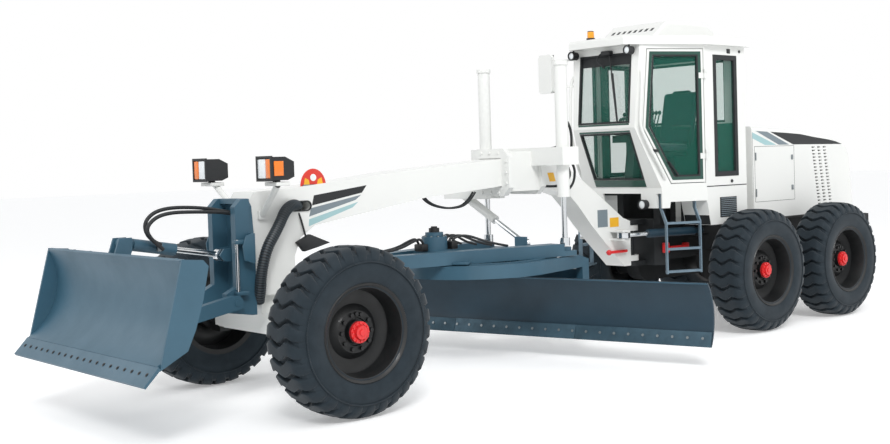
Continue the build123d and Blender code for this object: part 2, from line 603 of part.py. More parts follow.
# ---------------------------------------------------------------- drawbar and circle
DRAWBAR_Z = (1000, 1120)
DRIVE_X = 1640
with BuildPart() as drawbar:
    # Two arms from the ball to the rear cross member, and the space between them
    floor_plate(both([(2960, 75), (1780, 330), (540, 640), (380, 640)]), *DRAWBAR_Z)
    floor_plate(both([(2300, 60), (545, 440)]), *DRAWBAR_Z, mode=Mode.SUBTRACT)
    block((1560, -270, DRAWBAR_Z[0]), (1760, 270, DRAWBAR_Z[1]))
    block((300, -700, 1050), (545, 700, 1200), mode=Mode.SUBTRACT)
    # Guide inside the circle
    with Locations((CIRCLE_X, 0, 930)):
        Cylinder(672, 70, align=CENTRED)
        Cylinder(600, 70, align=CENTRED, mode=Mode.SUBTRACT)
    # Ball socket at the front
    block((2950, -75, 940), (3060, 75, 1080))
    rod((BALL[0], -80, BALL[2]), (BALL[0], 80, BALL[2]), 95)
    with Locations(BALL):
        Sphere(56, mode=Mode.SUBTRACT)
    block((BALL[0] + 20, -200, 800), (BALL[0] + 200, 200, 1200), mode=Mode.SUBTRACT)
    # Seats of the lift rods
    for sign in (1, -1):
        rod((LIFT_X, LIFT_Y * sign, DRAWBAR_Z[0]), (LIFT_X, LIFT_Y * sign, PEDESTAL_Z), 60)
    # Bracket of the side-swing cylinder's rod
    block((495, 120, 960), (SWING_X + 80, 280, DRAWBAR_Z[0]))
    block((SWING_X + 40, 130, 990), (SWING_X + 80, 270, 1190))
    # Drive that turns the circle, and its pinion's housing inside the teeth
    rod((DRIVE_X, 0, 1110), (DRIVE_X, 0, 1250), 120)
    rod((DRIVE_X, 0, 1240), (DRIVE_X, 0, 1290), 85)
    rod((DRIVE_X, 0, 876), (DRIVE_X, 0, 1010), 80)

CIRCLE_Z = (868, 992)
turn = radians(CIRCLE_TURN)
CIRCLE_FRAME = Plane(origin=(CIRCLE_X, 0, 0), x_dir=(cos(turn), sin(turn), 0), z_dir=(0, 0, 1))
TILT_X, TILT_Z = (-640, 330)
ARM_Y = (690, 760)
ARM_OUTLINE = [
    (0, 868), (0, 992), (-640, 992), (-830, 940), (-830, 290), (-700, 260), (-600, 290), (-600, 400),
    (-700, 620), (-700, 868),
]


def on_circle(x, y, z):
    """A point given in the circle's frame."""
    return tuple(CIRCLE_FRAME.from_local_coords((x, y, z)))


TEETH = 60
TOOTH_R = (640, 682)
TOOTH_Z = (CIRCLE_Z[0], 922)

with BuildPart() as circle:
    with Locations((CIRCLE_X, 0, CIRCLE_Z[0])):
        Cylinder(CIRCLE_R, CIRCLE_Z[1] - CIRCLE_Z[0], align=CENTRED)
        Cylinder(CIRCLE_R - 80, CIRCLE_Z[1] - CIRCLE_Z[0], align=CENTRED, mode=Mode.SUBTRACT)
    # Ring of inner teeth: a flange with a gap cut between each two
    with BuildSketch(Plane((CIRCLE_X, 0, TOOTH_Z[0]))) as ring:
        Circle(TOOTH_R[1])
        Circle(TOOTH_R[0], mode=Mode.SUBTRACT)
        with PolarLocations(TOOTH_R[0] + 10, TEETH):
            Trapezoid(36, 26, 78, rotation=90, mode=Mode.SUBTRACT)
    extrude(ring.sketch, amount=TOOTH_Z[1] - TOOTH_Z[0])
    for near, far in both_sides(*ARM_Y):
        side_plate(ARM_OUTLINE, near, far, CIRCLE_FRAME)
    block((-830, -ARM_Y[0] - 5, 740), (-740, ARM_Y[0] + 5, 840), CIRCLE_FRAME)
    rod(on_circle(TILT_X, -900, TILT_Z), on_circle(TILT_X, 900, TILT_Z), 24 + FIT, mode=Mode.SUBTRACT)

# ---------------------------------------------------------------- grading blade
SHOE_Y = (480, 600)
# Rails on the blade's back: height from, height to, front in the circle's frame
BLADE_RAILS = [(300, 360, -468), (610, 670, -452)]
RAIL_BACK_X = -540
BRACKET_Y = 1385
SHIFT_X, SHIFT_Z = (-540, 490)
SHOE_OUTLINE = [
    (-700, 262), (-512, 262), (-512, 292), (-548, 292), (-548, 368), (-512, 368), (-512, 390), (-560, 400),
    (-560, 575), (-512, 585), (-512, 602), (-548, 602), (-548, 678), (-512, 678), (-512, 705), (-640, 705),
    (-700, 400),
]

with BuildPart() as blade_carrier:
    for near, far in both_sides(*SHOE_Y):
        side_plate(SHOE_OUTLINE, near, far, CIRCLE_FRAME)
    rod(on_circle(TILT_X, -SHOE_Y[0], TILT_Z), on_circle(TILT_X, SHOE_Y[0], TILT_Z), 55)
    for sign in (1, -1):
        start = on_circle(TILT_X, 590 * sign, TILT_Z)
        rod(start, on_circle(TILT_X, (ARM_Y[0] - 5) * sign, TILT_Z), 45)
        rod(start, on_circle(TILT_X, ARM_Y[1] * sign, TILT_Z), 24)
    barrel = (on_circle(SHIFT_X, -790, SHIFT_Z), on_circle(SHIFT_X, SHOE_Y[1], SHIFT_Z))
    rod(*barrel, 32)
    rod(on_circle(SHIFT_X, -770, SHIFT_Z), on_circle(SHIFT_X, SHOE_Y[1] + 5, SHIFT_Z), 19, mode=Mode.SUBTRACT)

BLADE_PLATE = 22
BLADE_FACE = [(-400, 195), (-475, 492), (-340, 790)]
LEFT_END = BLADE_SHIFT + BLADE_LENGTH / 2
blade_origin = on_circle(0, LEFT_END, 0)
blade_plane = Plane(origin=blade_origin, x_dir=CIRCLE_FRAME.x_dir, z_dir=-CIRCLE_FRAME.y_dir)
with BuildPart() as moldboard:
    with BuildSketch(blade_plane) as curve:
        with BuildLine():
            face = ThreePointArc(*BLADE_FACE)
            back = ThreePointArc(*[(x - BLADE_PLATE, z) for x, z in BLADE_FACE])
            Line(face @ 0, back @ 0)
            Line(face @ 1, back @ 1)
        make_face()
    extrude(curve.sketch, amount=BLADE_LENGTH)
    for low, high, front in BLADE_RAILS:
        block((RAIL_BACK_X, BLADE_SHIFT - 1250, low), (front, BLADE_SHIFT + 1250, high), CIRCLE_FRAME)
    # Bracket and rod of the side-shift cylinder
    block((-565, BRACKET_Y, 460), (-480, BRACKET_Y + 40, 520), CIRCLE_FRAME)
    rod(on_circle(SHIFT_X, -60, SHIFT_Z), on_circle(SHIFT_X, BRACKET_Y + 15, SHIFT_Z), 18)

# ---------------------------------------------------------------- front dozer
DOZER_PIN_X, DOZER_PIN_Z = (3900, 880)
DOZER_HALF = 1130
DOZER_TOP = (4690, 0, 1400)
MOUNT_EYE = (3870, 0, 1250)
CHEEK_OUTLINE = [
    (3720, 760), (3950, 800), (3950, 950), (3850, 1000), (3850, 1640), (3790, 1700), (3720, 1700),
]
CLEVIS_OUTLINE = [(3715, 1190), (3715, 1310), (3870, 1300), (3910, 1250), (3870, 1200)]

# Front plate of the mount, across the machine, with the oval hole that the hoses come through
MOUNT_PLATE = [
    (-220, 760), (220, 760), (220, 1300), (185, 1640), (130, 1700), (-130, 1700), (-185, 1640), (-220, 1300),
]
with BuildPart() as dozer_mount:
    profile(MOUNT_PLATE, Plane.YZ.offset(3680), 40)
    with BuildSketch(Plane.YZ.offset(3680)) as hose_hole:
        with Locations((95, 1560)):
            SlotOverall(120, 50, rotation=90)
    extrude(hose_hole.sketch, amount=45, mode=Mode.SUBTRACT)
    for near, far in both_sides(150, 220):
        side_plate(CHEEK_OUTLINE, near, far)
    for near, far in both_sides(45, 65):
        side_plate(CLEVIS_OUTLINE, near, far)
    for near, far in both_sides(215, 305):
        rod((DOZER_PIN_X, near, DOZER_PIN_Z), (DOZER_PIN_X, far, DOZER_PIN_Z), 25)
    rod((MOUNT_EYE[0], -50, MOUNT_EYE[2]), (MOUNT_EYE[0], 50, MOUNT_EYE[2]), 18)
    block((3720, -155, 1660), (3780, 155, 1700))

DOZER_FACE = [(5000, 600), (4745, 930), (4790, 1335)]
DOZER_CHEEK = [
    (4990, 590), (4800, 1335), (4640, 1320), (4600, 1275), (4650, 1042), (4715, 841), (4780, 700),
]
DOZER_EDGE = [(4985, 600), (5100, 485), (5110, 500), (5000, 620)]
DOZER_ARM = [(3870, 935), (3930, 940), (4825, 770), (4945, 640), (3930, 820), (3860, 830)]
DOZER_BRACKET = [(4720, 1200), (4780, 1330), (4740, 1445), (4640, 1445), (4640, 1350), (4700, 1200)]
DOZER_RIB = [
    (4960, 620), (4735, 900), (4725, 1000), (4770, 1325),
    (4690, 1325), (4650, 1042), (4680, 860), (4850, 640),
]
with BuildPart() as dozer_blade:
    with BuildSketch(Plane.XZ.offset(-DOZER_HALF)) as curve:
        with BuildLine():
            face = ThreePointArc(*DOZER_FACE)
            back = ThreePointArc(*[(x - 20, z) for x, z in DOZER_FACE])
            Line(face @ 0, back @ 0)
            Line(face @ 1, back @ 1)
        make_face()
    extrude(curve.sketch, amount=2 * DOZER_HALF)
    side_plate(DOZER_EDGE, -DOZER_HALF - 20, DOZER_HALF + 20)
    for outline, inner_y, outer_y in (
        (DOZER_CHEEK, DOZER_HALF, DOZER_HALF + 20),
        (DOZER_ARM, 230, 300),
        (DOZER_BRACKET, 40, 60),
        (DOZER_RIB, 560, 580),
        (DOZER_RIB, 860, 880),
    ):
        for near, far in both_sides(inner_y, outer_y):
            side_plate(outline, near, far)
    for near, far in both_sides(230, 300):
        rod((DOZER_PIN_X, near, DOZER_PIN_Z), (DOZER_PIN_X, far, DOZER_PIN_Z), 55)
    rod((DOZER_TOP[0], -50, DOZER_TOP[2]), (DOZER_TOP[0], 50, DOZER_TOP[2]), 20)
    rod((DOZER_PIN_X, -400, DOZER_PIN_Z), (DOZER_PIN_X, 400, DOZER_PIN_Z), 25 + FIT, mode=Mode.SUBTRACT)

# ---------------------------------------------------------------- cylinders
# Name, barrel's pin, rod's pin, pin direction, pin radius, half width of the barrel's eye, barrel radius,
# rod radius, barrel's end, rod's start, then outer radius, hole and half width of the rod's eye
CYLINDERS = [
    ("articulation_left", ANCHOR, EAR, (0, 0, 1), 25, 28, 45, 22, 700, 300, 72, 52, 28),
    ("swing", SWING_PIVOT, SWING_EYE, (1, 0, 0), 25, 50, 45, 24, 640, 225, 45, 20, 25),
    ("dozer", DOZER_TOP, MOUNT_EYE, (0, 1, 0), 20, 32, 48, 25, 430, 110, 52, 34, 35),
]
cylinders = {}
for name, *places, pin_r, half, tube_r, rod_r, tube_end, rod_start, eye_r, hole_r, eye_half in CYLINDERS:
    pin, eye, across = [Vector(*place) for place in places]
    along = (eye - pin).normalized()
    with BuildPart() as barrel_part:
        rod(pin + along * 75, pin + along * tube_end, tube_r)
        rod(pin, pin + along * 80, min(half, tube_r) - 2)
        rod(pin - across * half, pin + across * half, pin_r + 25)
        rod(pin - across * (half + 5), pin + across * (half + 5), pin_r + FIT, mode=Mode.SUBTRACT)
        rod(pin + along * 60, pin + along * (tube_end + 5), rod_r + 1, mode=Mode.SUBTRACT)
    with BuildPart() as rod_part:
        rod(pin + along * rod_start, eye - along * (eye_r - 10), rod_r)
        rod(eye - across * eye_half, eye + across * eye_half, eye_r)
        rod(eye - across * (eye_half + 5), eye + across * (eye_half + 5), hole_r, mode=Mode.SUBTRACT)
    cylinders[f"{name}_barrel"] = barrel_part
    cylinders[f"{name}_rod"] = rod_part

for kind in ("barrel", "rod"):
    with BuildPart() as mirrored:
        mirror(cylinders[f"articulation_left_{kind}"].part, about=Plane.XZ)
    cylinders[f"articulation_right_{kind}"] = mirrored

# ---------------------------------------------------------------- all pieces
pieces = {
    "rear_chassis": rear_chassis,
    "rear_axle": rear_axle,
    "tandem_cases": tandem_cases,
    "engine_block": engine_block,
    "hood": hood,
    "cab_base": cab_base,
    "cab_frame": cab_frame,
    "cab_roof": cab_roof,
    "cab_glass": cab_glass,
    "cab_lamps": cab_lamps,
    "driver_seat": driver_seat,
    "control_console": control_console,
    "ladders": ladders,
    "door_left": door_left,
    "door_glass_left": door_glass_left,
    "door_right": door_right,
    "door_glass_right": door_glass_right,
    "front_frame": front_frame,
    "lift_saddle": lift_saddle,
    "lift_barrels": lift_barrels,
    "lift_rods": lift_rods,
    "headlamps": headlamps,
    "front_axle": front_axle,
    "lean_left": lean_left,
    "lean_right": lean_right,
    "lean_bar": lean_bar,
    "knuckle_left": knuckle_left,
    "knuckle_right": knuckle_right,
    "tie_rod": tie_rod,
    "drawbar": drawbar,
    "circle": circle,
    "blade_carrier": blade_carrier,
    "moldboard": moldboard,
    "dozer_mount": dozer_mount,
    "dozer_blade": dozer_blade,
    **cylinders,
    **wheels,
}
for name, piece in pieces.items():
    piece.part.label = name
    export_step(piece.part, f"parts/{name}.step")
    print(name, len(piece.part.solids()), round(piece.part.volume / 1e6, 2), "dm3")
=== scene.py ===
"""Dresses a motor grader: finishes on its CAD frame, and the pieces that the frame leaves out.

Sizes are in metres, with x ahead, y to the left and z up. Parts are made for the left side of the
machine, and both() adds their mirror images.
"""

from math import atan2, cos, pi, radians, sin

import bpy
from bpy.props import FloatProperty, FloatVectorProperty, IntProperty, PointerProperty
from mathutils import Matrix, Vector

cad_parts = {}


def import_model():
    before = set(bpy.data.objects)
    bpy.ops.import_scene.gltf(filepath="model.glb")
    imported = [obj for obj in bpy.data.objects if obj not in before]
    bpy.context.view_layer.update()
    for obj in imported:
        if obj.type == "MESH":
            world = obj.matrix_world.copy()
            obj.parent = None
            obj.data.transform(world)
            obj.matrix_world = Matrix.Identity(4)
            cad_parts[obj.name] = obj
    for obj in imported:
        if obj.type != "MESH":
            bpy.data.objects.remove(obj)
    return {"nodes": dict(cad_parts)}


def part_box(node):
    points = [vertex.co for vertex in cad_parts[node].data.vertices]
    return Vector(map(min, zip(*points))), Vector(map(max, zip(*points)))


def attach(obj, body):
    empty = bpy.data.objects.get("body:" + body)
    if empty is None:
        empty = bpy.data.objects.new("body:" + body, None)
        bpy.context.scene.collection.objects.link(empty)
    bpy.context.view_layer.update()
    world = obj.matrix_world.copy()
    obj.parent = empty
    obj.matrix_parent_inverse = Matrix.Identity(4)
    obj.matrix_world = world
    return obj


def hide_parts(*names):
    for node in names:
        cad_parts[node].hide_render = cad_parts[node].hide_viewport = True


bl_info = {
    "name": "Motor Grader",
    "version": (1, 0, 0),
    "blender": (4, 5, 0),
    "location": "View3D > Sidebar > Grader",
    "description": "Builds the pieces and finishes of a motor grader on its CAD frame",
    "category": "Object",
}

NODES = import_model()["nodes"]
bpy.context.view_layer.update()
SIDES = ("left", "right")
WHEELS = [(row, side) for side in SIDES for row in ("front", "mid", "rear")]


def middle(node):
    """Centre of a CAD node's box."""
    low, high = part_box(node)
    return (low + high) / 2


# ---------------------------------------------------------------- settings
def linear(code):
    """A linear colour from an sRGB hex value."""
    parts = [int(code[i:i + 2], 16) / 255 for i in (1, 3, 5)]
    return (*[c / 12.92 if c <= 0.04045 else ((c + 0.055) / 1.055) ** 2.4 for c in parts], 1.0)


class GraderPaintSettings(bpy.types.PropertyGroup):
    """Colours of the paints."""

    body: FloatVectorProperty(
        name="Body", description="Off-white enamel of cab, hood and frame", subtype="COLOR",
        size=3, min=0, max=1, default=linear("#e7e8e5")[:3],
    )
    implement: FloatVectorProperty(
        name="Implement", description="Slate enamel of blades, circle and drawbar", subtype="COLOR",
        size=3, min=0, max=1, default=linear("#34596c")[:3],
    )
    hub: FloatVectorProperty(
        name="Hub", description="Red enamel of the wheel hubs", subtype="COLOR",
        size=3, min=0, max=1, default=linear("#dd2427")[:3],
    )


class GraderTyreSettings(bpy.types.PropertyGroup):
    """Sizes of the tyre tread."""

    lugs: IntProperty(name="Lugs", description="Lugs round one tyre", default=30, min=12, max=60)
    depth: FloatProperty(
        name="Lug depth", description="Height of a lug above the carcass", default=0.034,
        min=0.005, max=0.08, unit="LENGTH",
    )
    groove: FloatProperty(
        name="Groove", description="Width of the groove between two lugs", default=0.042,
        min=0.01, max=0.1, unit="LENGTH",
    )


# ---------------------------------------------------------------- modelling
def deselect():
    """Leaves edit mode and selects nothing."""
    if bpy.context.mode != "OBJECT":
        bpy.ops.object.mode_set(mode="OBJECT")
    bpy.ops.object.select_all(action="DESELECT")


def pick(obj):
    """Makes one object the only selected and active one."""
    deselect()
    obj.select_set(True)
    bpy.context.view_layer.objects.active = obj


def remove(*objects):
    """Deletes objects."""
    for obj in objects:
        pick(obj)
        bpy.ops.object.delete()


def settle():
    """Moves the active object's place, turn and scale into its mesh."""
    bpy.ops.object.transform_apply(location=True, rotation=True, scale=True)
    return bpy.context.object


def open_mesh():
    """Starts to edit the active object's mesh, with all of it selected."""
    bpy.ops.object.mode_set(mode="EDIT")
    bpy.ops.mesh.select_all(action="SELECT")


def close_mesh(merge=0.0):
    """Ends editing: merges doubles nearer than a distance and turns every face outwards."""
    bpy.ops.mesh.select_all(action="SELECT")
    if merge:
        bpy.ops.mesh.remove_doubles(threshold=merge)
    bpy.ops.mesh.normals_make_consistent(inside=False)
    bpy.ops.object.mode_set(mode="OBJECT")


def extrude(along):
    """Extrudes what is selected by a vector."""
    bpy.ops.mesh.extrude_region_move(TRANSFORM_OT_translate={"value": tuple(along)})


def soften(obj, width, segments=2):
    """Bevels an object's sharp edges."""
    pick(obj)
    bpy.ops.object.modifier_add(type="BEVEL")
    bevel = obj.modifiers[-1]
    bevel.width = width
    bevel.segments = segments
    bevel.limit_method = "ANGLE"
    bevel.angle_limit = radians(35)
    bpy.ops.object.modifier_apply(modifier=bevel.name)
    return obj


def cuboid(low, high, bevel=0.0, segments=2):
    """A box from its lowest to its highest corner."""
    deselect()
    bpy.ops.mesh.primitive_cube_add(size=1, location=[(a + b) / 2 for a, b in zip(low, high)])
    bpy.context.object.scale = [b - a for a, b in zip(low, high)]
    obj = settle()
    return soften(obj, bevel, segments) if bevel else obj


def bar(start, end, radius, sides=20, end_radius=None):
    """A round bar, or a cone, between two points."""
    start, end = Vector(start), Vector(end)
    along = end - start
    deselect()
    bpy.ops.mesh.primitive_cone_add(
        vertices=sides, radius1=radius, radius2=radius if end_radius is None else end_radius,
        depth=along.length, location=(start + end) / 2, rotation=along.to_track_quat("Z", "Y").to_euler(),
    )
    return settle()


def ball(centre, radius, scale=(1, 1, 1), segments=20):
    """A sphere, or an egg, at a point."""
    deselect()
    bpy.ops.mesh.primitive_uv_sphere_add(
        segments=segments, ring_count=segments // 2, radius=radius, location=centre,
    )
    bpy.context.object.scale = scale
    return settle()


def polygon(outline, fill="NGON"):
    """A flat face, or only its edges, through an outline of points."""
    deselect()
    bpy.ops.mesh.primitive_circle_add(vertices=len(outline), fill_type=fill)
    obj = bpy.context.object
    for vertex, point in zip(obj.data.vertices, outline):
        vertex.co = point
    return obj


def plate(outline, thickness, bevel=0.0):
    """A flat outline of points, extruded by a vector."""
    obj = polygon(outline)
    open_mesh()
    extrude(thickness)
    close_mesh()
    return soften(obj, bevel) if bevel else obj


def seal(outline, width, thickness):
    """A flat frame of this width just inside an outline of points, extruded by a vector."""
    obj = polygon(outline)
    open_mesh()
    bpy.ops.mesh.inset(thickness=width)
    bpy.ops.mesh.delete(type="FACE")
    bpy.ops.mesh.select_all(action="SELECT")
    extrude(thickness)
    close_mesh()
    return obj


def side_plate(outline, y_low, y_high, bevel=0.0):
    """A plate whose outline is given in X and Z."""
    return plate([(x, y_low, z) for x, z in outline], (0, y_high - y_low, 0), bevel)


def turned_ring(profile, steps=72):
    """A closed cross-section, as distance along Y and radius, turned all the way round the Y axis."""
    obj = polygon([(radius, offset, 0) for offset, radius in profile], "NOTHING")
    open_mesh()
    bpy.ops.mesh.spin(steps=steps, angle=2 * pi, center=(0, 0, 0), axis=(0, 1, 0))
    close_mesh(merge=0.0001)
    return obj


def hose(points, radius, resolution=8):
    """A round hose along a smooth curve with these control points."""
    deselect()
    bpy.ops.curve.primitive_nurbs_path_add()
    obj = bpy.context.object
    obj.data.splines.clear()
    spline = obj.data.splines.new("NURBS")
    spline.points.add(len(points) - 1)
    for knot, point in zip(spline.points, points):
        knot.co = (*point, 1)
    spline.order_u = 3
    spline.use_endpoint_u = True
    spline.resolution_u = resolution
    obj.data.bevel_depth = radius
    obj.data.bevel_resolution = 3
    obj.data.use_fill_caps = True
    bpy.ops.object.convert(target="MESH")
    return settle()


def corrugated(points, radius, rings):
    """A ribbed sleeve along a smooth curve: its tube, then the rings round it."""
    line = hose(points, 0.0, rings // len(points))
    places = [vertex.co.copy() for vertex in line.data.vertices]
    remove(line)
    parts = [hose(points, radius * 0.90, 12)]
    for start, end in zip(places, places[1:]):
        centre, half = (start + end) / 2, (end - start) * 0.27
        parts.append(bar(centre - half, centre + half, radius, 20))
    return parts


def bolts(places, direction, radius, height):
    """Hexagon heads at each place, standing along a direction."""
    step = Vector(direction).normalized() * height
    return [bar(place, Vector(place) + step, radius, 6) for place in places]


def copies(obj, matrices):
    """Copies of an object, each with its own mesh, moved by each matrix."""
    made = []
    for matrix in matrices:
        pick(obj)
        bpy.ops.object.duplicate()
        twin = bpy.context.object
        twin.data.transform(matrix)
        made.append(twin)
    return made


def row_of(obj, count, step):
    """A part and its copies, each one step further on."""
    return [obj, *copies(obj, [Matrix.Translation(Vector(step) * k) for k in range(1, count)])]


def ring_of(obj, count):
    """A part and its copies, spaced evenly round the Y axis."""
    return [obj, *copies(obj, [Matrix.Rotation(2 * pi * k / count, 4, "Y") for k in range(1, count)])]


def placed(obj, place, angle=0.0, axis="Z"):
    """Turns a part made at the origin about an axis and sets it at its place."""
    obj.data.transform(Matrix.Translation(place) @ Matrix.Rotation(angle, 4, axis))
    return obj


def mirrored(obj):
    """A copy of an object on the other side of the machine."""
    (twin,) = copies(obj, [Matrix.Scale(-1, 4, (0, 1, 0))])
    pick(twin)
    open_mesh()
    close_mesh(merge=0.00001)
    return twin


def both(*half):
    """Parts made for the left side, with their mirror images."""
    return [*half, *[mirrored(obj) for obj in half]]


def dress(obj, finish_name):
    """Gives every face of an object one finish."""
    obj.data.materials.clear()
    obj.data.materials.append(FINISHES[finish_name])
    return obj


def coat(finish_name, *parts):
    """Gives several parts one finish."""
    return [dress(part, finish_name) for part in parts]


def piece(name, body, parts, angle=35):
    """Joins dressed parts into one named piece that rides on a body."""
    deselect()
    for part in parts:
        part.select_set(True)
    bpy.context.view_layer.objects.active = parts[0]
    if len(parts) > 1:
        bpy.ops.object.join()
    obj = bpy.context.object
    obj.name = name
    obj.data.name = name
    bpy.ops.object.shade_smooth_by_angle(angle=radians(angle))
    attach(obj, body)
    return obj


# ---------------------------------------------------------------- finishes
FINISHES = {}


def add_node(owner, kind, settings=(), links=()):
    """Adds a shader node: its settings by name, and (output node, output, input) links."""
    tree = owner.node_tree
    made = tree.nodes.new(kind)
    for key, value in dict(settings).items():
        if hasattr(made, key):
            setattr(made, key, value)
        else:
            made.inputs[key].default_value = value
    for source, output, target in links:
        tree.links.new(source.outputs[output], made.inputs[target])
    return made


def grain(material, shader, size_mm, height_mm, strength):
    """Fine unevenness of a surface, from noise of a real grain size."""
    place = add_node(material, "ShaderNodeTexCoord")
    noise = add_node(
        material, "ShaderNodeTexNoise", {"Scale": 1000 / size_mm, "Detail": 3.0},
        [(place, "Object", "Vector")],
    )
    bump = add_node(
        material, "ShaderNodeBump", {"Strength": strength, "Distance": height_mm / 1000},
        [(noise, "Fac", "Height")],
    )
    material.node_tree.links.new(bump.outputs["Normal"], shader.inputs["Normal"])


def mottle(material, shader, size_mm, share, rougher=0.08):
    """Slow patches of this size in a finish: the colour up to this share darker, and rougher there."""
    low, high = 0.35, 0.65
    place = add_node(material, "ShaderNodeTexCoord")
    noise = add_node(
        material, "ShaderNodeTexNoise", {"Scale": 1000 / size_mm, "Detail": 4.0, "Roughness": 0.6},
        [(place, "Object", "Vector")],
    )
    base = shader.inputs["Base Color"].default_value[:3]
    patch = add_node(material, "ShaderNodeValToRGB", (), [(noise, "Fac", "Fac")])
    first, last = patch.color_ramp.elements
    first.position, last.position = low, high
    first.color = (*[channel * (1 - share) for channel in base], 1)
    last.color = (*base, 1)
    even = shader.inputs["Roughness"].default_value
    worn = add_node(
        material, "ShaderNodeMapRange",
        {"From Min": low, "From Max": high, "To Min": even + rougher, "To Max": even},
        [(noise, "Fac", "Value")],
    )
    material.node_tree.links.new(patch.outputs["Color"], shader.inputs["Base Color"])
    material.node_tree.links.new(worn.outputs["Result"], shader.inputs["Roughness"])


def finish(title, colour, roughness, grained=None, mottled=None, sockets=()):
    """Makes a material: its shader's sockets, then the grain and the patches that it has."""
    material = bpy.data.materials.new(title)
    material.use_nodes = True
    material.diffuse_color = colour
    shader = material.node_tree.nodes["Principled BSDF"]
    for socket, value in {"Base Color": colour, "Roughness": roughness, **dict(sockets)}.items():
        shader.inputs[socket].default_value = value
    if grained:
        grain(material, shader, *grained)
    if mottled:
        mottle(material, shader, *mottled)
    return material


def make_finishes():
    """All the materials of the grader, by the name of the finish.

    A grain is its size and height in mm and its strength, and patches are their size in mm, how much
    darker they are and how much rougher. Braid, weave, moulded grain and the lines of grinding are
    finer on the real thing, and are drawn as coarse as they need to be to show.
    """
    paint = bpy.context.scene.grader_paint
    FINISHES.update({
        # Two-pack enamel sprayed on steel: smooth, with a thin gloss film over an off-white colour
        "enamel": finish(
            "Off-White Enamel", (*paint.body, 1), 0.38, (45, 0.4, 0.12), (900, 0.025, 0.05),
            {"Coat Weight": 0.35, "Coat Roughness": 0.12},
        ),
        # The same enamel in slate, a little rougher where it is sprayed over plate
        "slate": finish(
            "Slate Enamel", (*paint.implement, 1), 0.46, (60, 0.6, 0.15), (420, 0.12),
            {"Coat Weight": 0.12, "Coat Roughness": 0.25},
        ),
        # The same enamel, darker and a little rougher, on the long blade
        "deep_slate": finish(
            "Deep Slate Enamel", linear("#0f3040"), 0.48, (60, 0.6, 0.15), (350, 0.15),
            {"Coat Weight": 0.08, "Coat Roughness": 0.25},
        ),
        # Half-gloss black enamel of rims, axles and valve blocks, with dusty patches
        "black_enamel": finish(
            "Black Enamel", linear("#090c0e"), 0.48, (50, 0.4, 0.15), (160, 0.2, 0.12),
            {"Coat Weight": 0.06},
        ),
        # Thick stone-guard paint of the chassis, with the texture of its spraying
        "charcoal": finish("Charcoal Chassis Paint", linear("#101518"), 0.68, (8, 0.5, 0.25), (250, 0.15)),
        # Red enamel brushed on cast hubs and on the hitch lock
        "hub_red": finish(
            "Red Enamel", (*paint.hub, 1), 0.4, (12, 0.3, 0.2), (60, 0.10), {"Coat Weight": 0.3},
        ),
        # Vulcanised rubber with carbon black: matt, slightly blue where it catches the light
        "tyre": finish(
            "Tyre Rubber", linear("#1a262e"), 0.72, (14, 0.5, 0.35), (120, 0.18, 0.10),
            {"Sheen Weight": 0.12, "Sheen Roughness": 0.5, "Specular IOR Level": 0.3},
        ),
        # Synthetic rubber over a steel braid whose wires print through as a fine texture
        "hose": finish("Braided Hydraulic Rubber", linear("#14181b"), 0.55, (3, 0.3, 0.4)),
        # Extruded polyethylene sleeve with rings that catch the light
        "sleeve": finish("Ribbed Plastic Sleeve", linear("#343d43"), 0.45, (10, 0.1, 0.2)),
        # Extruded seal rubber, matt and a little chalky
        "rubber_trim": finish("Window Seal Rubber", linear("#1b1f21"), 0.65, (5, 0.2, 0.3), (90, 0.12)),
        # Hard chrome on ground rods, with the faint lines of grinding
        "chrome": finish("Hard Chrome", linear("#d6d9db"), 0.14, (2, 0.02, 0.1), None, {"Metallic": 1.0}),
        # Zinc plating on bolts and latches, clouded by its passivation
        "steel": finish(
            "Zinc Plated Steel", linear("#8d9497"), 0.38, (4, 0.05, 0.2), (15, 0.15, 0.12), {"Metallic": 1.0},
        ),
        # Bare steel of a cutting edge, scoured by gravel
        "worn_steel": finish(
            "Scoured Steel", linear("#3b5563"), 0.45, (25, 0.5, 0.4), (140, 0.3, 0.15), {"Metallic": 0.4},
        ),
        # Grey enamel of the steps, scuffed by boots
        "step_grey": finish("Grey Step Enamel", linear("#6d8290"), 0.45, (20, 0.3, 0.2), (80, 0.18, 0.15)),
        # Green tinted safety glass, seen through in both directions
        "glass": finish(
            "Green Safety Glass", linear("#2f8a76"), 0.03, sockets={"Alpha": 0.15, "IOR": 1.52},
        ),
        # Ceramic ink fired on the border of the glass, behind its polished face
        "tinted_border": finish(
            "Tinted Glass Border", linear("#17463b"), 0.08, sockets={"Coat Weight": 0.5},
        ),
        # Moulded polypropylene with its leather-like grain
        "plastic": finish("Moulded Black Plastic", linear("#16191c"), 0.5, (2.5, 0.15, 0.35), (120, 0.12)),
        # Woven cloth of the driver's seat, whose loose fibres catch light at grazing angles
        "seat": finish(
            "Woven Cushion Cloth", linear("#1d2a38"), 0.85, (6, 0.4, 0.4), None, {"Sheen Weight": 0.3},
        ),
        # Needled felt on the cab's inner walls, dark sea green: the green is the painted tint of the glass it
        # is seen through
        "cab_lining": finish("Cab Lining Under Painted Glass Tint", linear("#0f4a3e"), 0.7, (4, 0.4, 0.4), (150, 0.12)),
    })
    # Clear, amber and bright amber polycarbonate of lamps, with fine prisms moulded inside
    for name, title, code, roughness in (
        ("lens", "Clear Lamp Lens", "#e9eef0", 0.08), ("amber", "Amber Polycarbonate", "#ee7a12", 0.20),
        ("beacon_amber", "Amber Beacon Dome", "#f6a31a", 0.20),
    ):
        FINISHES[name] = finish(
            title, linear(code), roughness, (9, 0.6, 0.35), None, {"Coat Weight": 0.5},
        )
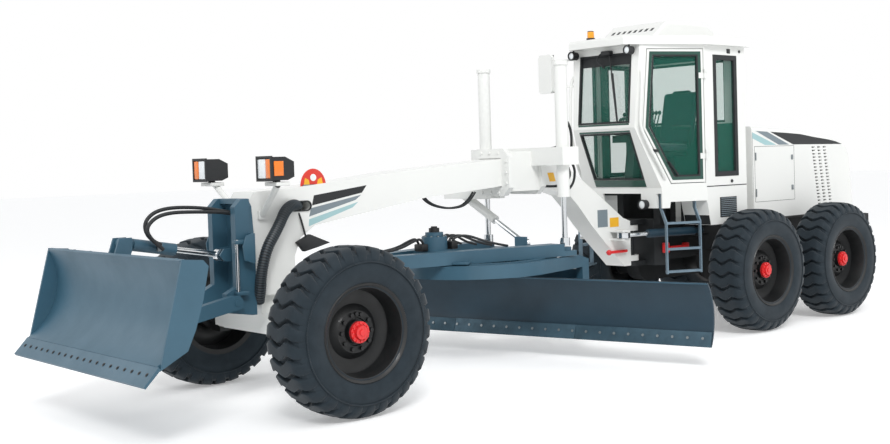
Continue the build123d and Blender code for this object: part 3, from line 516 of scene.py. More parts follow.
    # Cast vinyl films for stripes and blank plates, with the slight orange peel of the paint below
    for name, code in (
        ("grey", "#77848b"), ("teal", "#9fc3c6"), ("black", "#121619"), ("yellow", "#f0b52c"),
        ("red", "#d6382c"), ("white", "#eff1f0"),
    ):
        FINISHES["film_" + name] = finish(
            f"{name.title()} Vinyl Film", linear(code), 0.35, (30, 0.2, 0.15), (300, 0.06, 0.05),
        )


NODE_FINISHES = {
    "enamel": [
        "hood", "cab_base", "cab_frame", "cab_roof", "door_left", "door_right", "front_frame", "lift_saddle",
        "front_axle", "lean_left", "lean_right", "lift_barrels", "swing_barrel",
    ],
    "slate": ["drawbar", "circle", "blade_carrier", "dozer_mount", "dozer_blade", "dozer_barrel"],
    "deep_slate": ["moldboard", "articulation_left_barrel", "articulation_right_barrel"],
    "step_grey": ["ladders"],
    "black_enamel": [
        "rear_axle", "engine_block", "knuckle_left", "knuckle_right", "tie_rod", "control_console",
        *[f"rim_{row}_{side}" for row, side in WHEELS],
    ],
    "charcoal": ["rear_chassis", "tandem_cases"],
    "chrome": [
        "lift_rods", "lean_bar", "swing_rod", "dozer_rod", "articulation_left_rod", "articulation_right_rod",
    ],
    "glass": ["cab_glass", "door_glass_left", "door_glass_right"],
    "seat": ["driver_seat"],
    "plastic": ["headlamps", "cab_lamps"],
    "tyre": [f"tyre_{row}_{side}" for row, side in WHEELS],
}


class GRADER_OT_finishes(bpy.types.Operator):
    """Makes the materials and gives each CAD node its own"""

    bl_idname = "grader.finishes"
    bl_label = "Finishes"

    def execute(self, context):
        make_finishes()
        for finish_name, nodes in NODE_FINISHES.items():
            coat(finish_name, *[NODES[node] for node in nodes])
        return {"FINISHED"}


# ---------------------------------------------------------------- wheels
TYRE_LOW, TYRE_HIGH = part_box("tyre_front_left")
TYRE_RADIUS = (TYRE_HIGH.z - TYRE_LOW.z) / 2
# Half of the carcass from its middle to its bead: distance from the middle, height from the crown
CARCASS = [
    (0.0, 0.0), (0.10, -0.002), (0.160, -0.010), (0.196, -0.034), (0.213, -0.075), (0.222, -0.130),
    (0.2215, -0.170), (0.213, -0.225), (0.200, -0.262), (0.192, -0.282),
]
# The bead inside the rim, and the raised rings on the sidewall: distance from the middle, radius
BEAD = [(0.196, 0.386), (0.190, 0.372), (0.160, 0.362)]
SIDEWALL_RINGS = [(0.2135, 0.452), (0.2225, 0.545)]
# Centre line of a lug: distance from the tyre's middle, shift round the tyre, share of full height
LUG_LINE = [
    (0.0, 0.026, 1.0), (0.045, 0.010, 1.0), (0.095, -0.022, 1.0), (0.130, -0.016, 0.98),
    (0.165, 0.002, 0.90), (0.197, 0.016, 0.62), (0.214, 0.020, 0.30),
]
# How much narrower a lug of no height would be, its spread at the root, and its depth in lug depths
LUG_TAPER, LUG_FLARE, LUG_ROOT = 0.25, 1.1, 1.25
# Cross-sections of the wheel's ring and disc: distance from its middle towards the outside, radius
RIM_PROFILE = [
    (-0.204, 0.380), (-0.196, 0.384), (-0.188, 0.378), (-0.180, 0.352), (-0.080, 0.346), (0.120, 0.346),
    (0.170, 0.352), (0.184, 0.376), (0.194, 0.386), (0.205, 0.388), (0.214, 0.381), (0.208, 0.368),
    (0.196, 0.360), (0.188, 0.346), (0.150, 0.334), (0.040, 0.322), (-0.080, 0.328), (-0.195, 0.338),
]
DISC_PROFILE = [
    (0.034, 0.326), (0.030, 0.300), (0.012, 0.262), (0.016, 0.215), (0.060, 0.165), (0.066, 0.110),
    (0.050, 0.105), (0.010, 0.150), (-0.006, 0.215), (-0.008, 0.262), (0.010, 0.306), (0.014, 0.326),
]


def drop_at(offset):
    """Height of the carcass from its crown, downwards negative, at a distance from the middle."""
    for (y0, drop0), (y1, drop1) in zip(CARCASS, CARCASS[1:]):
        if offset <= y1:
            return drop0 + (drop1 - drop0) * (offset - y0) / (y1 - y0)
    return CARCASS[-1][1]


def tread_lug(settings, crown):
    """One zig-zag lug that crosses the top of the tyre, with flared flanks."""
    line = [(-y, shift, share) for y, shift, share in reversed(LUG_LINE[1:])] + LUG_LINE
    across = len(line)
    full_width = 2 * pi * TYRE_RADIUS / settings.lugs - settings.groove
    deselect()
    bpy.ops.mesh.primitive_grid_add(x_subdivisions=across - 1, y_subdivisions=1, size=1)
    lug = bpy.context.object
    for index, vertex in enumerate(lug.data.vertices):
        y, shift, share = line[index % across]
        half_width = full_width * (1 - LUG_TAPER * (1 - share)) / 2
        angle = (shift + (half_width if index >= across else -half_width)) / TYRE_RADIUS
        radius = crown + drop_at(abs(y)) + settings.depth * share
        vertex.co = (radius * sin(angle), y, radius * cos(angle))
    open_mesh()
    extrude((0, 0, 0))
    bpy.ops.object.mode_set(mode="OBJECT")
    for vertex in lug.data.vertices:
        if not vertex.select:
            vertex.co.x *= LUG_FLARE
            vertex.co.z -= settings.depth * LUG_ROOT
    open_mesh()
    close_mesh()
    return soften(lug, 0.005, 1)


def tyre_parts(settings):
    """One tyre at the origin: its carcass, the rings on its sidewalls and its tread."""
    crown = TYRE_RADIUS - settings.depth
    half = [(offset, crown + drop) for offset, drop in CARCASS] + BEAD
    parts = [turned_ring(half + [(-offset, radius) for offset, radius in reversed(half[1:])], 90)]
    for offset, radius in SIDEWALL_RINGS:
        ridge = [(0, 0.006), (0.004, 0.003), (0.004, -0.003), (0, -0.006), (-0.010, 0)]
        parts += both(turned_ring([(offset + out, radius + up) for out, up in ridge]))
    return coat("tyre", *parts, *ring_of(tread_lug(settings, crown), settings.lugs))


def rim_parts():
    """One rim at the origin, outside towards +Y: ring, disc, hub, nuts and bolts."""
    nut = bar((0, 0.055, 0.138), (0, 0.085, 0.138), 0.017, 6)
    black = [
        turned_ring(RIM_PROFILE), turned_ring(DISC_PROFILE), bar((0, -0.090, 0), (0, 0.050, 0), 0.150, 40),
        bar((0, 0.040, 0), (0, 0.096, 0), 0.092, 40),
        nut, *copies(nut, [Matrix.Rotation(2 * pi * (k + 0.5) / 10, 4, "Y") for k in range(10)]),
    ]
    red = [
        bar((0, 0.096, 0), (0, 0.122, 0), 0.084, 40), bar((0, 0.122, 0), (0, 0.148, 0), 0.058, 32, 0.052),
        bar((0, 0.148, 0), (0, 0.156, 0), 0.026, 6),
        *ring_of(bar((0, 0.122, 0.071), (0, 0.132, 0.071), 0.009, 6), 12),
    ]
    return coat("black_enamel", *black) + coat("hub_red", *red)


class GRADER_OT_wheels(bpy.types.Operator):
    """Makes one tyre and one rim and sets copies of them on the six hubs"""

    bl_idname = "grader.wheels"
    bl_label = "Wheels"

    def execute(self, context):
        for kind, slot, parts in (
            ("tyre", "tyre_rubber", tyre_parts(context.scene.grader_tyre)), ("rim", "rim_paint", rim_parts()),
        ):
            pattern = piece(f"{kind}_pattern", "rear_frame", parts, 32)
            for row, side in WHEELS:
                turn = Matrix.Rotation(0 if side == "left" else pi, 4, "Z")
                place = Matrix.Translation(middle(f"tyre_{row}_{side}"))
                wheel = piece(
                    f"detailed_{kind}_{row}_{side}", f"wheel_{row}_{side}",
                    copies(pattern, [place @ turn]), 32,
                )
                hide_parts(f"{kind}_{row}_{side}")
            remove(pattern)
        return {"FINISHED"}


# ---------------------------------------------------------------- cab
CAB_SIDE_Y = 0.800
CAB_REAR_X = -2.210
DOOR_REAR = Vector((-1.490, CAB_SIDE_Y, 0.0))
DOOR_ALONG = Vector((0.750, -0.355, 0.0)).normalized()
DOOR_OUT = Vector((-DOOR_ALONG.y, DOOR_ALONG.x, 0.0))
# The door's pane and the border round it: distance from the hinge corner, height
DOOR_GLASS = [(0.075, 1.715), (0.380, 1.715), (0.665, 2.255), (0.603, 3.012), (0.075, 3.012)]
DOOR_BORDER = [(0.040, 1.681), (0.402, 1.681), (0.702, 2.246), (0.636, 3.046), (0.040, 3.046)]
# The cab's front wall, which is bent at its middle: X, height
FRONT_WALL = [(-1.010, 1.600), (-0.740, 2.250), (-0.815, 3.120)]


def corners(u0, u1, v0, v1):
    """The four corners of a rectangle."""
    return [(u0, v0), (u1, v0), (u1, v1), (u0, v1)]


def on_door(along, out, height):
    """A point on the left door's wall: forward of the hinge corner, out of the cab, up."""
    return DOOR_REAR + DOOR_ALONG * along + DOOR_OUT * out + Vector((0, 0, height))


def front_x(height):
    """Outer face of the cab's front wall at a height."""
    (x0, z0), (x1, z1), (x2, z2) = FRONT_WALL
    if height < z1:
        return x0 + (x1 - x0) * (height - z0) / (z1 - z0)
    return x1 + (x2 - x1) * (height - z1) / (z2 - z1)


def on_front(out, y, height):
    """A point at this distance ahead of the cab's front wall."""
    return front_x(height) + out, y, height


def front_pane(low, high, half, out):
    """Corners of a windscreen pane in the front wall, moved out by a distance."""
    return [on_front(out, y, z) for z, y in ((low, -half), (low, half), (high, half), (high, -half))]


def door_trim():
    """Parts of the left door: its seal, latch, grab handle and the border printed round its glass."""
    latch = cuboid((-0.036, -0.012, -0.014), (0.036, 0.012, 0.014), 0.006)
    rubber = [
        seal([on_door(u, -0.036, z) for u, z in DOOR_GLASS], 0.018, DOOR_OUT * 0.040),
        placed(latch, on_door(0.598, 0.012, 2.000), atan2(DOOR_ALONG.y, DOOR_ALONG.x)),
    ]
    grab = [bar(on_door(0.452, 0.030, 1.880), on_door(0.352, 0.030, 1.735), 0.012, 16)]
    for u, z in ((0.448, 1.874), (0.356, 1.741)):
        grab.append(bar(on_door(u, 0.0, z), on_door(u, 0.034, z), 0.009, 12))
    border = seal([on_door(u, 0.002, z) for u, z in DOOR_BORDER], 0.034, DOOR_OUT * -0.004)
    return coat("rubber_trim", *rubber) + coat("plastic", *grab) + coat("tinted_border", border)


def work_lamp(place, radius):
    """A lamp that looks ahead: dark rim round a bowed clear lens."""
    rim = turned_ring([
        (0.0, radius + 0.004), (0.012, radius + 0.004), (0.016, radius - 0.001), (0.012, radius - 0.006),
        (-0.012, radius - 0.004), (-0.012, radius + 0.004),
    ], 40)
    lens = ball(Vector(place) - Vector((0.002, 0, 0)), radius - 0.004, (0.28, 1, 1), 28)
    return coat("plastic", placed(rim, place, -pi / 2)) + coat("lens", lens)


class GRADER_OT_cab(bpy.types.Operator):
    """Makes the window seals, door trim, rails, wiper, lamps, beacon, mirror glass and vents of the cab"""

    bl_idname = "grader.cab"
    bl_label = "Cab"

    def execute(self, context):
        y = CAB_SIDE_Y
        quarter = [(x, y - 0.034, z) for x, z in corners(-2.063, -1.642, 1.702, 3.018)]
        rear = [(CAB_REAR_X - 0.003, across, z) for across, z in corners(-0.558, 0.558, 2.302, 2.998)]
        seals = [
            *both(seal(quarter, 0.052, (0, 0.038, 0))),
            seal(front_pane(1.692, 2.198, 0.368, 0.004), 0.020, (-0.034, 0, 0)),
            seal(front_pane(2.302, 3.048, 0.373, 0.004), 0.020, (-0.034, 0, 0)),
            seal(rear, 0.024, (0.034, 0, 0)),
            # Dark band printed along the top of the windscreen
            plate(front_pane(2.925, 3.030, 0.355, -0.014), (-0.002, 0, 0)),
            # Rubber strip between the cab and its base
            *both(side_plate(corners(-2.205, -1.492, 1.594, 1.604), y - 0.004, y + 0.002)),
        ]
        piece("window_seals", "rear_frame", coat("rubber_trim", *seals))

        # Tinted strips that carry the windscreen's glass over the frame between and below its panes
        strips = [
            plate(front_pane(low, high, 0.368, 0.005), (-0.006, 0, 0))
            for low, high in ((2.202, 2.298), (1.612, 1.688))
        ]
        piece("windscreen_strips", "rear_frame", coat("tinted_border", *strips))

        trim = door_trim()
        for side, parts in zip(SIDES, (trim, [mirrored(part) for part in trim])):
            piece(f"door_trim_{side}", f"door_{side}", parts)

        # Grab rails up the front corner posts
        rail = hose([
            on_door(0.500, 0.004, 1.700), on_door(0.510, 0.048, 1.730), on_door(0.790, 0.052, 2.230),
            on_door(0.775, 0.052, 2.420), on_door(0.742, 0.050, 2.800), on_door(0.738, 0.004, 2.840),
        ], 0.017, 10)
        piece("corner_grab_rails", "rear_frame", coat("enamel", *both(rail)))

        # Wiper: spindle, arm, blade and motor cover, and the washer hose beside it
        blade = [on_front(0.012, across, z) for across, z in (
            (0.105, 2.840), (0.135, 2.840), (0.228, 2.300), (0.212, 2.300),
        )]
        wiper = [
            bar(on_front(0.0, 0.075, 3.060), on_front(0.040, 0.075, 3.060), 0.022),
            bar(on_front(0.020, 0.075, 3.060), on_front(0.024, 0.180, 2.520), 0.009, 12, 0.005),
            plate(blade, (0.012, 0, 0)),
            cuboid((front_x(3.060) - 0.004, -0.020, 3.036), (front_x(3.060) + 0.060, 0.110, 3.084), 0.010),
            hose([
                on_front(0.030, -0.010, 3.070), (front_x(3.000) + 0.050, -0.090, 3.030),
                (front_x(2.900) + 0.030, -0.060, 2.940), on_front(0.012, 0.010, 2.900),
            ], 0.008),
        ]
        piece("windscreen_wiper", "rear_frame", coat("plastic", *wiper))

        lamps = work_lamp((-0.700, 0.405, 3.062), 0.044) + work_lamp((-0.950, 0.345, 1.425), 0.050)
        piece("work_lamps", "rear_frame", both(*lamps))

        # Warning beacon on the roof: amber dome on a dark foot
        x, across = -0.730, -0.137
        dome = ball((x, across, 3.294), 0.037, (1, 1, 0.55), 28)
        beacon = coat("beacon_amber", bar((x, across, 3.233), (x, across, 3.296), 0.037, 32), dome)
        beacon += coat("plastic", bar((x, across, 3.214), (x, across, 3.234), 0.047, 32))
        piece("warning_beacon", "rear_frame", beacon)

        # Mirror: silvered glass in the dark rim of its shell, on the face that looks back
        glass = cuboid((-0.6745, -0.846, 2.685), (-0.6715, -0.666, 3.085), 0.001)
        shell = [(-0.6760, across, z) for across, z in corners(-0.856, -0.656, 2.675, 3.095)]
        mirror = coat("chrome", glass) + coat("plastic", seal(shell, 0.012, (0.006, 0, 0)))
        piece("mirror_glass", "rear_frame", mirror)

        # Louvred vent with its slats, and the locks on the cab's sides
        slat = cuboid((-2.000, y + 0.002, 1.268), (-1.727, y + 0.013, 1.276), 0.002)
        locks = [
            bar((-1.933, y - 0.004, 1.645), (-1.933, y + 0.010, 1.645), 0.018),
            cuboid((-1.950, y - 0.004, 3.040), (-1.890, y + 0.008, 3.090), 0.006),
            bar((-2.117, y - 0.004, 3.066), (-2.117, y + 0.008, 3.066), 0.016),
        ]
        vent = cuboid((-2.012, y - 0.004, 1.256), (-1.715, y + 0.006, 1.474), 0.003)
        vents = coat("plastic", vent, *locks) + coat("film_grey", *row_of(slat, 10, (0, 0, 0.021)))
        piece("cab_vents", "rear_frame", both(*vents))

        # Dark mesh in the air slots of the roof unit
        slot = side_plate([(-1.2145, 3.291), (-1.166, 3.291), (-1.2145, 3.326)], -0.238, -0.196)
        slots = coat("film_black", *row_of(slot, 8, (0, 0.080, 0)))
        piece("roof_unit_mesh", "rear_frame", slots)
        return {"FINISHED"}


# ---------------------------------------------------------------- cab interior
SEAT_RAKE = radians(-102)
CHANNEL_DEPTH, CHANNEL_HALF = 0.012, 0.020


def cushion(low, high, crown, channels=()):
    """A crowned foam pad with channels sewn across it at these X."""
    pad = cuboid(low, high, 0.045, 4)
    pick(pad)
    open_mesh()
    bpy.ops.mesh.subdivide(number_cuts=5)
    bpy.ops.object.mode_set(mode="OBJECT")
    centre = (Vector(low) + Vector(high)) / 2
    half = (Vector(high) - Vector(low)) / 2
    for vertex in pad.data.vertices:
        u, v, w = [(vertex.co[axis] - centre[axis]) / half[axis] for axis in range(3)]
        vertex.co.z += crown * (1 - u * u) * (1 - v * v) * max(w, 0)
        for channel in channels:
            near = max(0, 1 - abs(vertex.co.x - channel) / CHANNEL_HALF)
            vertex.co.z -= CHANNEL_DEPTH * near * max(w, 0)
    return pad


def cab_plan(front, height):
    """Outline of the cab's inside at a height, with its front corners at this X and half width."""
    half = [front, (-1.505, 0.738), (-2.150, 0.738)]
    return [(x, y, height) for x, y in [*half, *[(x, -y) for x, y in reversed(half)]]]


class GRADER_OT_interior(bpy.types.Operator):
    """Makes the seat, its frame, the control levers and the cab's lining"""

    bl_idname = "grader.interior"
    bl_label = "Cab interior"

    def execute(self, context):
        base = cushion((-1.890, -0.250, 1.985), (-1.390, 0.250, 2.065), 0.020, (-1.72, -1.56))
        back = cushion((0.0, -0.240, 0.0), (0.600, 0.240, 0.085), 0.018, (0.15, 0.30, 0.45))
        head = cushion((0.0, -0.130, 0.0), (0.060, 0.130, 0.060), 0.010)
        placed(back, (-1.925, 0, 2.080), SEAT_RAKE, "Y")
        placed(head, (-2.060, 0, 2.630), SEAT_RAKE, "Y")
        cover = piece("seat_cushions", "rear_frame", coat("seat", base, back, head), 60)
        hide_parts("driver_seat")

        frame = [
            cuboid((-1.800, -0.170, 1.602), (-1.480, 0.170, 1.660), 0.010),
            cuboid((-1.770, -0.150, 1.660), (-1.510, 0.150, 1.930), 0.030, 3),
            cuboid((-1.870, -0.230, 1.930), (-1.410, 0.230, 1.985), 0.012),
            *both(
                cuboid((-1.900, 0.245, 2.230), (-1.560, 0.295, 2.275), 0.018, 3),
                bar((-1.880, 0.268, 2.050), (-1.880, 0.268, 2.240), 0.016),
            ),
        ]
        piece("seat_frame", "rear_frame", coat("plastic", *frame))

        # Console top with its three dials, and a row of levers with knobs on either side of the column
        levers = []
        for y in (0.105, 0.147, 0.189, 0.231):
            levers.append(bar((-1.300, y, 2.120), (-1.375, y * 1.12, 2.400), 0.007, 10))
            levers.append(ball((-1.380, y * 1.12, 2.415), 0.019, (1, 1, 1.3), 14))
        controls = [
            cuboid((-1.275, -0.235, 2.182), (-1.185, 0.235, 2.196), 0.006),
            *[bar((-1.243, y, 2.190), (-1.247, y, 2.204), 0.046, 28) for y in (-0.15, 0.0, 0.15)],
            *both(*levers), bar((-1.292, 0, 2.300), (-1.302, 0, 2.330), 0.040, 24),
        ]
        piece("control_levers", "rear_frame", coat("plastic", *controls))

        # Felt on the floor, the ceiling, the rear wall and the posts, in the painted tint of the cab's glass
        lining = [
            plate(cab_plan((-1.075, 0.530), 1.601), (0, 0, 0.010)),
            plate(cab_plan((-0.885, 0.440), 3.104), (0, 0, 0.012)),
            cuboid((-2.152, -0.740, 1.612), (-2.135, 0.740, 2.285), 0.004),
            cuboid((-2.152, -0.740, 3.015), (-2.135, 0.740, 3.100), 0.004),
            *both(
                cuboid((-1.636, 0.735, 1.612), (-1.520, 0.744, 3.100), 0.003),
                cuboid((-2.135, 0.735, 1.612), (-2.070, 0.744, 3.100), 0.003),
            ),
        ]
        piece("cab_lining", "rear_frame", coat("cab_lining", *lining))
        return {"FINISHED"}


# ---------------------------------------------------------------- hood
HOOD_SIDE_Y = 0.600
FILM = 0.0012


def side_film(outline, y, finish_name):
    """A coloured film on both sides of the machine, from its outline in X and Z."""
    return coat(finish_name, *both(side_plate(outline, y - 0.0005, y + FILM)))


class GRADER_OT_hood(bpy.types.Operator):
    """Makes the stripes, door seams, latches, vent mesh and rear lamps of the engine hood"""

    bl_idname = "grader.hood"
    bl_label = "Engine hood"

    def execute(self, context):
        y = HOOD_SIDE_Y
        films = side_film([
            (-2.968, 2.184), (-3.438, 2.030), (-4.520, 2.022), (-4.360, 2.060), (-4.180, 2.085),
            (-3.900, 2.114), (-3.600, 2.152), (-3.250, 2.172),
        ], y, "film_black")
        for finish_name, outline in (
            ("film_grey", [(-2.680, 2.196), (-2.905, 2.186), (-3.352, 2.030), (-3.140, 2.030)]),
            ("film_teal", [(-2.612, 2.180), (-3.085, 2.030), (-2.862, 2.030), (-2.612, 2.112)]),
        ):
            films += side_film(outline, y, finish_name)
        piece("hood_stripes", "rear_frame", films)

        # Gaps round the service door and ahead of it: lowest and highest corner in X and Z
        gaps = (
            (-3.452, 1.372, -3.448, 2.018), (-2.652, 1.372, -2.648, 2.018), (-3.452, 2.014, -2.648, 2.018),
            (-3.452, 1.372, -2.648, 1.376), (-2.614, 1.200, -2.610, 2.180),
        )
        seams = [cuboid((x0, y - 0.001, z0), (x1, y + 0.001, z1)) for x0, z0, x1, z1 in gaps]
        # Latches of the service door, and its hinges
        latch = cuboid((-3.425, y - 0.002, 1.490), (-3.385, y + 0.008, 1.550), 0.006)
        hinge = bar((-2.665, y + 0.006, 1.435), (-2.665, y + 0.006, 1.525), 0.008, 14)
        latches = row_of(latch, 2, (0, 0, 0.360)) + row_of(hinge, 2, (0, 0, 0.420))
        doors = both(*coat("charcoal", *seams), *coat("steel", *latches))
        piece("hood_service_doors", "rear_frame", doors)

        # Black insect mesh behind the side vents and the rear grille
        mesh = both(cuboid((-4.320, 0.556, 1.220), (-3.760, 0.566, 2.015)))
        mesh.append(cuboid((-4.690, -0.430, 1.260), (-4.680, 0.430, 1.850)))
        piece("hood_vent_mesh", "rear_frame", coat("film_black", *mesh))

        # Lamp clusters on the rear counterweight: housing, red lamp and amber lamp
        rear = [
            *coat("plastic", cuboid((-5.108, 0.420, 0.960), (-5.095, 0.560, 1.040), 0.005)),
            *coat("hub_red", cuboid((-5.1095, 0.428, 0.968), (-5.100, 0.490, 1.032), 0.004)),
            *coat("amber", cuboid((-5.1095, 0.494, 0.968), (-5.100, 0.552, 1.032), 0.004)),
        ]
        lamps = [lamp for part in rear for lamp in row_of(part, 2, (0, -0.980, 0))]
        piece("rear_lamps", "rear_frame", lamps)
        return {"FINISHED"}


# ---------------------------------------------------------------- front frame
BEAM_SIDE_Y = 0.160
NECK_SIDE_Y = 0.135
BOARD_X = 3.040


def half_turn(centre, radii, start, steps):
    """Points along half an ellipse of the XZ plane, anticlockwise from this angle."""
    angles = [start + pi * k / steps for k in range(steps + 1)]
    return [(centre[0] + radii[0] * cos(a), centre[1] + radii[1] * sin(a)) for a in angles]


class GRADER_OT_front(bpy.types.Operator):
    """Makes the stripes, warning board, hoses, guard, bolts and headlamp fittings of the front frame"""

    bl_idname = "grader.front"
    bl_label = "Front frame"

    def execute(self, context):
        y = BEAM_SIDE_Y
        films = side_film([(3.063, 1.699), (2.515, 1.765), (2.567, 1.702), (3.085, 1.614)], y, "film_black")
        films += side_film([(3.096, 1.592), (2.577, 1.683), (2.638, 1.641), (3.117, 1.522)], y, "film_grey")
        films += side_film([(3.118, 1.499), (2.610, 1.623), (2.670, 1.578), (3.124, 1.440)], y, "film_teal")
        # Blank plates on the neck and the clamp
        films += side_film(corners(-0.626, -0.470, 1.204, 1.388), NECK_SIDE_Y, "film_grey")
        films += side_film(corners(-0.800, -0.660, 1.196, 1.296), NECK_SIDE_Y, "film_yellow")
        leaning = [(0.140, 1.716), (0.226, 1.716), (0.256, 1.806), (0.170, 1.806)]
        films += side_film(leaning, NECK_SIDE_Y, "film_yellow")
        piece("front_frame_films", "front_frame", films)

        # Half-round warning board on top of the beam: red, with two yellow wedges and a white disc
        arc = half_turn((BOARD_X, 1.776), (0.128, 0.150), 0, 16)
        wedge = [(0.034, 0.0), (0.098, 0.0), (0.082, 0.070), (0.046, 0.050)]
        wedges = [
            side_plate([(BOARD_X + way * out, 1.780 + up) for out, up in wedge], 0.1165, 0.1255)
            for way in (1, -1)
        ]
        board = [
            *coat("film_red", side_plate(arc, 0.118, 0.124, 0.001)), *coat("film_yellow", *wedges),
            *coat("film_white", bar((BOARD_X, 0.1162, 1.850), (BOARD_X, 0.1258, 1.850), 0.030, 28)),
            *coat("steel", cuboid((2.930, 0.095, 1.764), (3.150, 0.150, 1.792), 0.004)),
        ]
        piece("warning_board", "front_frame", board)

        # Grommet of the oval hole in the nose, a black plate of painted shade across the middle of the hole,
        # and the ribbed sleeve out of it
        oval = half_turn((3.255, 1.615), (0.044, 0.044), -pi / 2, 10)
        oval += half_turn((3.135, 1.615), (0.044, 0.044), pi / 2, 10)
        grommet = seal([(x, y - 0.004, z) for x, z in oval], 0.010, (0, 0.012, 0))
        tube, *rings = corrugated([
            (3.190, 0.100, 1.612), (3.280, 0.200, 1.640), (3.400, 0.250, 1.600), (3.480, 0.252, 1.450),
            (3.590, 0.252, 1.300), (3.650, 0.252, 1.100), (3.662, 0.245, 0.940), (3.640, 0.180, 0.860),
        ], 0.047, 64)
        lead = hose([
            (3.215, 0.120, 1.590), (3.222, 0.172, 1.560), (3.180, 0.176, 1.400), (3.160, 0.180, 1.320),
        ], 0.008)
        nose = [
            # The black plate across the oval hole is painted shade inside it
            *coat("rubber_trim", *both(grommet)), *coat("film_black", side_plate(oval, -0.030, 0.030)),
            *coat("hose", tube), *coat("sleeve", *rings), *coat("hose", lead),
        ]
        piece("nose_hoses", "front_frame", nose)

        # Black guard beside the nose
        shield = [(3.269, 1.315), (3.140, 1.376), (2.939, 1.292), (3.060, 1.262), (3.200, 1.232)]
        guard = side_plate(shield, 0.158, 0.205, 0.008)
        piece("nose_guard", "front_frame", coat("plastic", guard))

        # Hoses along the left lift cylinder, with their valve block on the saddle
        lines = [hose(points, 0.013) for points in (
            [(0.400, 0.520, 2.500), (0.330, 0.480, 2.440), (0.300, 0.450, 2.200), (0.330, 0.420, 2.060),
             (0.420, 0.360, 2.050)],
            [(0.400, 0.540, 2.330), (0.300, 0.520, 2.290), (0.260, 0.500, 2.060), (0.300, 0.470, 1.900),
             (0.350, 0.470, 1.900)],
            [(0.330, 0.500, 1.960), (0.250, 0.520, 1.880), (0.240, 0.500, 1.720), (0.300, 0.480, 1.640),
             (0.400, 0.530, 1.620)],
            [(0.330, 0.450, 1.930), (0.220, 0.440, 1.820), (0.200, 0.360, 1.700), (0.280, 0.250, 1.660),
             (0.380, 0.160, 1.680)],
        )]
        # Pair under the beam, back to the swing cylinder
        lines += [hose([
            (1.860, across, 1.640), (1.820, across, 1.590), (1.700, across, 1.535), (1.520, across, 1.505),
            (1.320, across, 1.535), (1.230, across, 1.650),
        ], 0.010) for across in (0.135, 0.099)]
        block = cuboid((0.300, 0.440, 1.900), (0.356, 0.540, 2.040), 0.008)
        hoses = coat("hose", *lines) + coat("black_enamel", block)
        piece("lift_hoses", "front_frame", hoses)

        # Clamp bolts on the rear and front faces of the saddle's flanges and cylinder caps
        places = [(across, z) for across in (-0.235, 0.235) for z in (1.720, 1.830, 1.940)]
        places += [(across, z) for across in (-0.120, 0.0, 0.120) for z in (1.630, 2.020)]
        heads = [
            head for x, way in ((0.410, -1), (0.910, 1))
            for head in bolts([(x, across, z) for across, z in places], (way, 0, 0), 0.014, 0.012)
        ]
        piece("saddle_bolts", "front_frame", coat("enamel", *heads))

        # Faces of the headlamps: bezel, clear lens, amber indicator outboard and on the side
        outline = [(3.738, across, z) for across, z in corners(0.402, 0.628, 1.838, 2.038)]
        bezel = seal(outline, 0.018, (0.016, 0, 0))
        lens = cuboid((3.7395, 0.420, 1.862), (3.749, 0.530, 2.014), 0.004)
        indicator = cuboid((3.7395, 0.538, 1.862), (3.751, 0.608, 2.014), 0.006)
        repeater = cuboid((3.640, 0.619, 1.880), (3.725, 0.627, 1.996), 0.003)
        faces = coat("plastic", bezel) + coat("lens", lens) + coat("amber", indicator, repeater)
        piece("headlamp_faces", "front_frame", both(*faces))

        # Painted sleeves, feet and pads of the lamps' struts
        struts = both(
            bar((3.578, 0.163, 1.5475), (3.618, 0.489, 1.8025), 0.0255, 24),
            cuboid((3.546, 0.158, 1.526), (3.614, 0.1935, 1.594), 0.006),
            cuboid((3.570, 0.425, 1.800), (3.695, 0.605, 1.832), 0.005),
        )
        piece("headlamp_struts", "front_frame", coat("enamel", *struts))
        return {"FINISHED"}


# ---------------------------------------------------------------- dozer
# The edge's face: its upward normal, and the place of its first bolt
EDGE_NORMAL = Vector((0.737, 0.0, 0.676))
EDGE_START = Vector((5.048, -1.070, 0.566))
EDGE_BOLTS, EDGE_SPAN = 20, 2.140


def circle_through(a, b, c):
    """Centre and radius of the circle through three points of a plane."""
    (ax, ay), (bx, by), (cx, cy) = a, b, c
    d = 2 * (ax * (by - cy) + bx * (cy - ay) + cx * (ay - by))
    squares = [x * x + y * y for x, y in (a, b, c)]
    x = (squares[0] * (by - cy) + squares[1] * (cy - ay) + squares[2] * (ay - by)) / d
    y = (squares[0] * (cx - bx) + squares[1] * (ax - cx) + squares[2] * (bx - ax)) / d
    return (x, y), ((ax - x) ** 2 + (ay - y) ** 2) ** 0.5


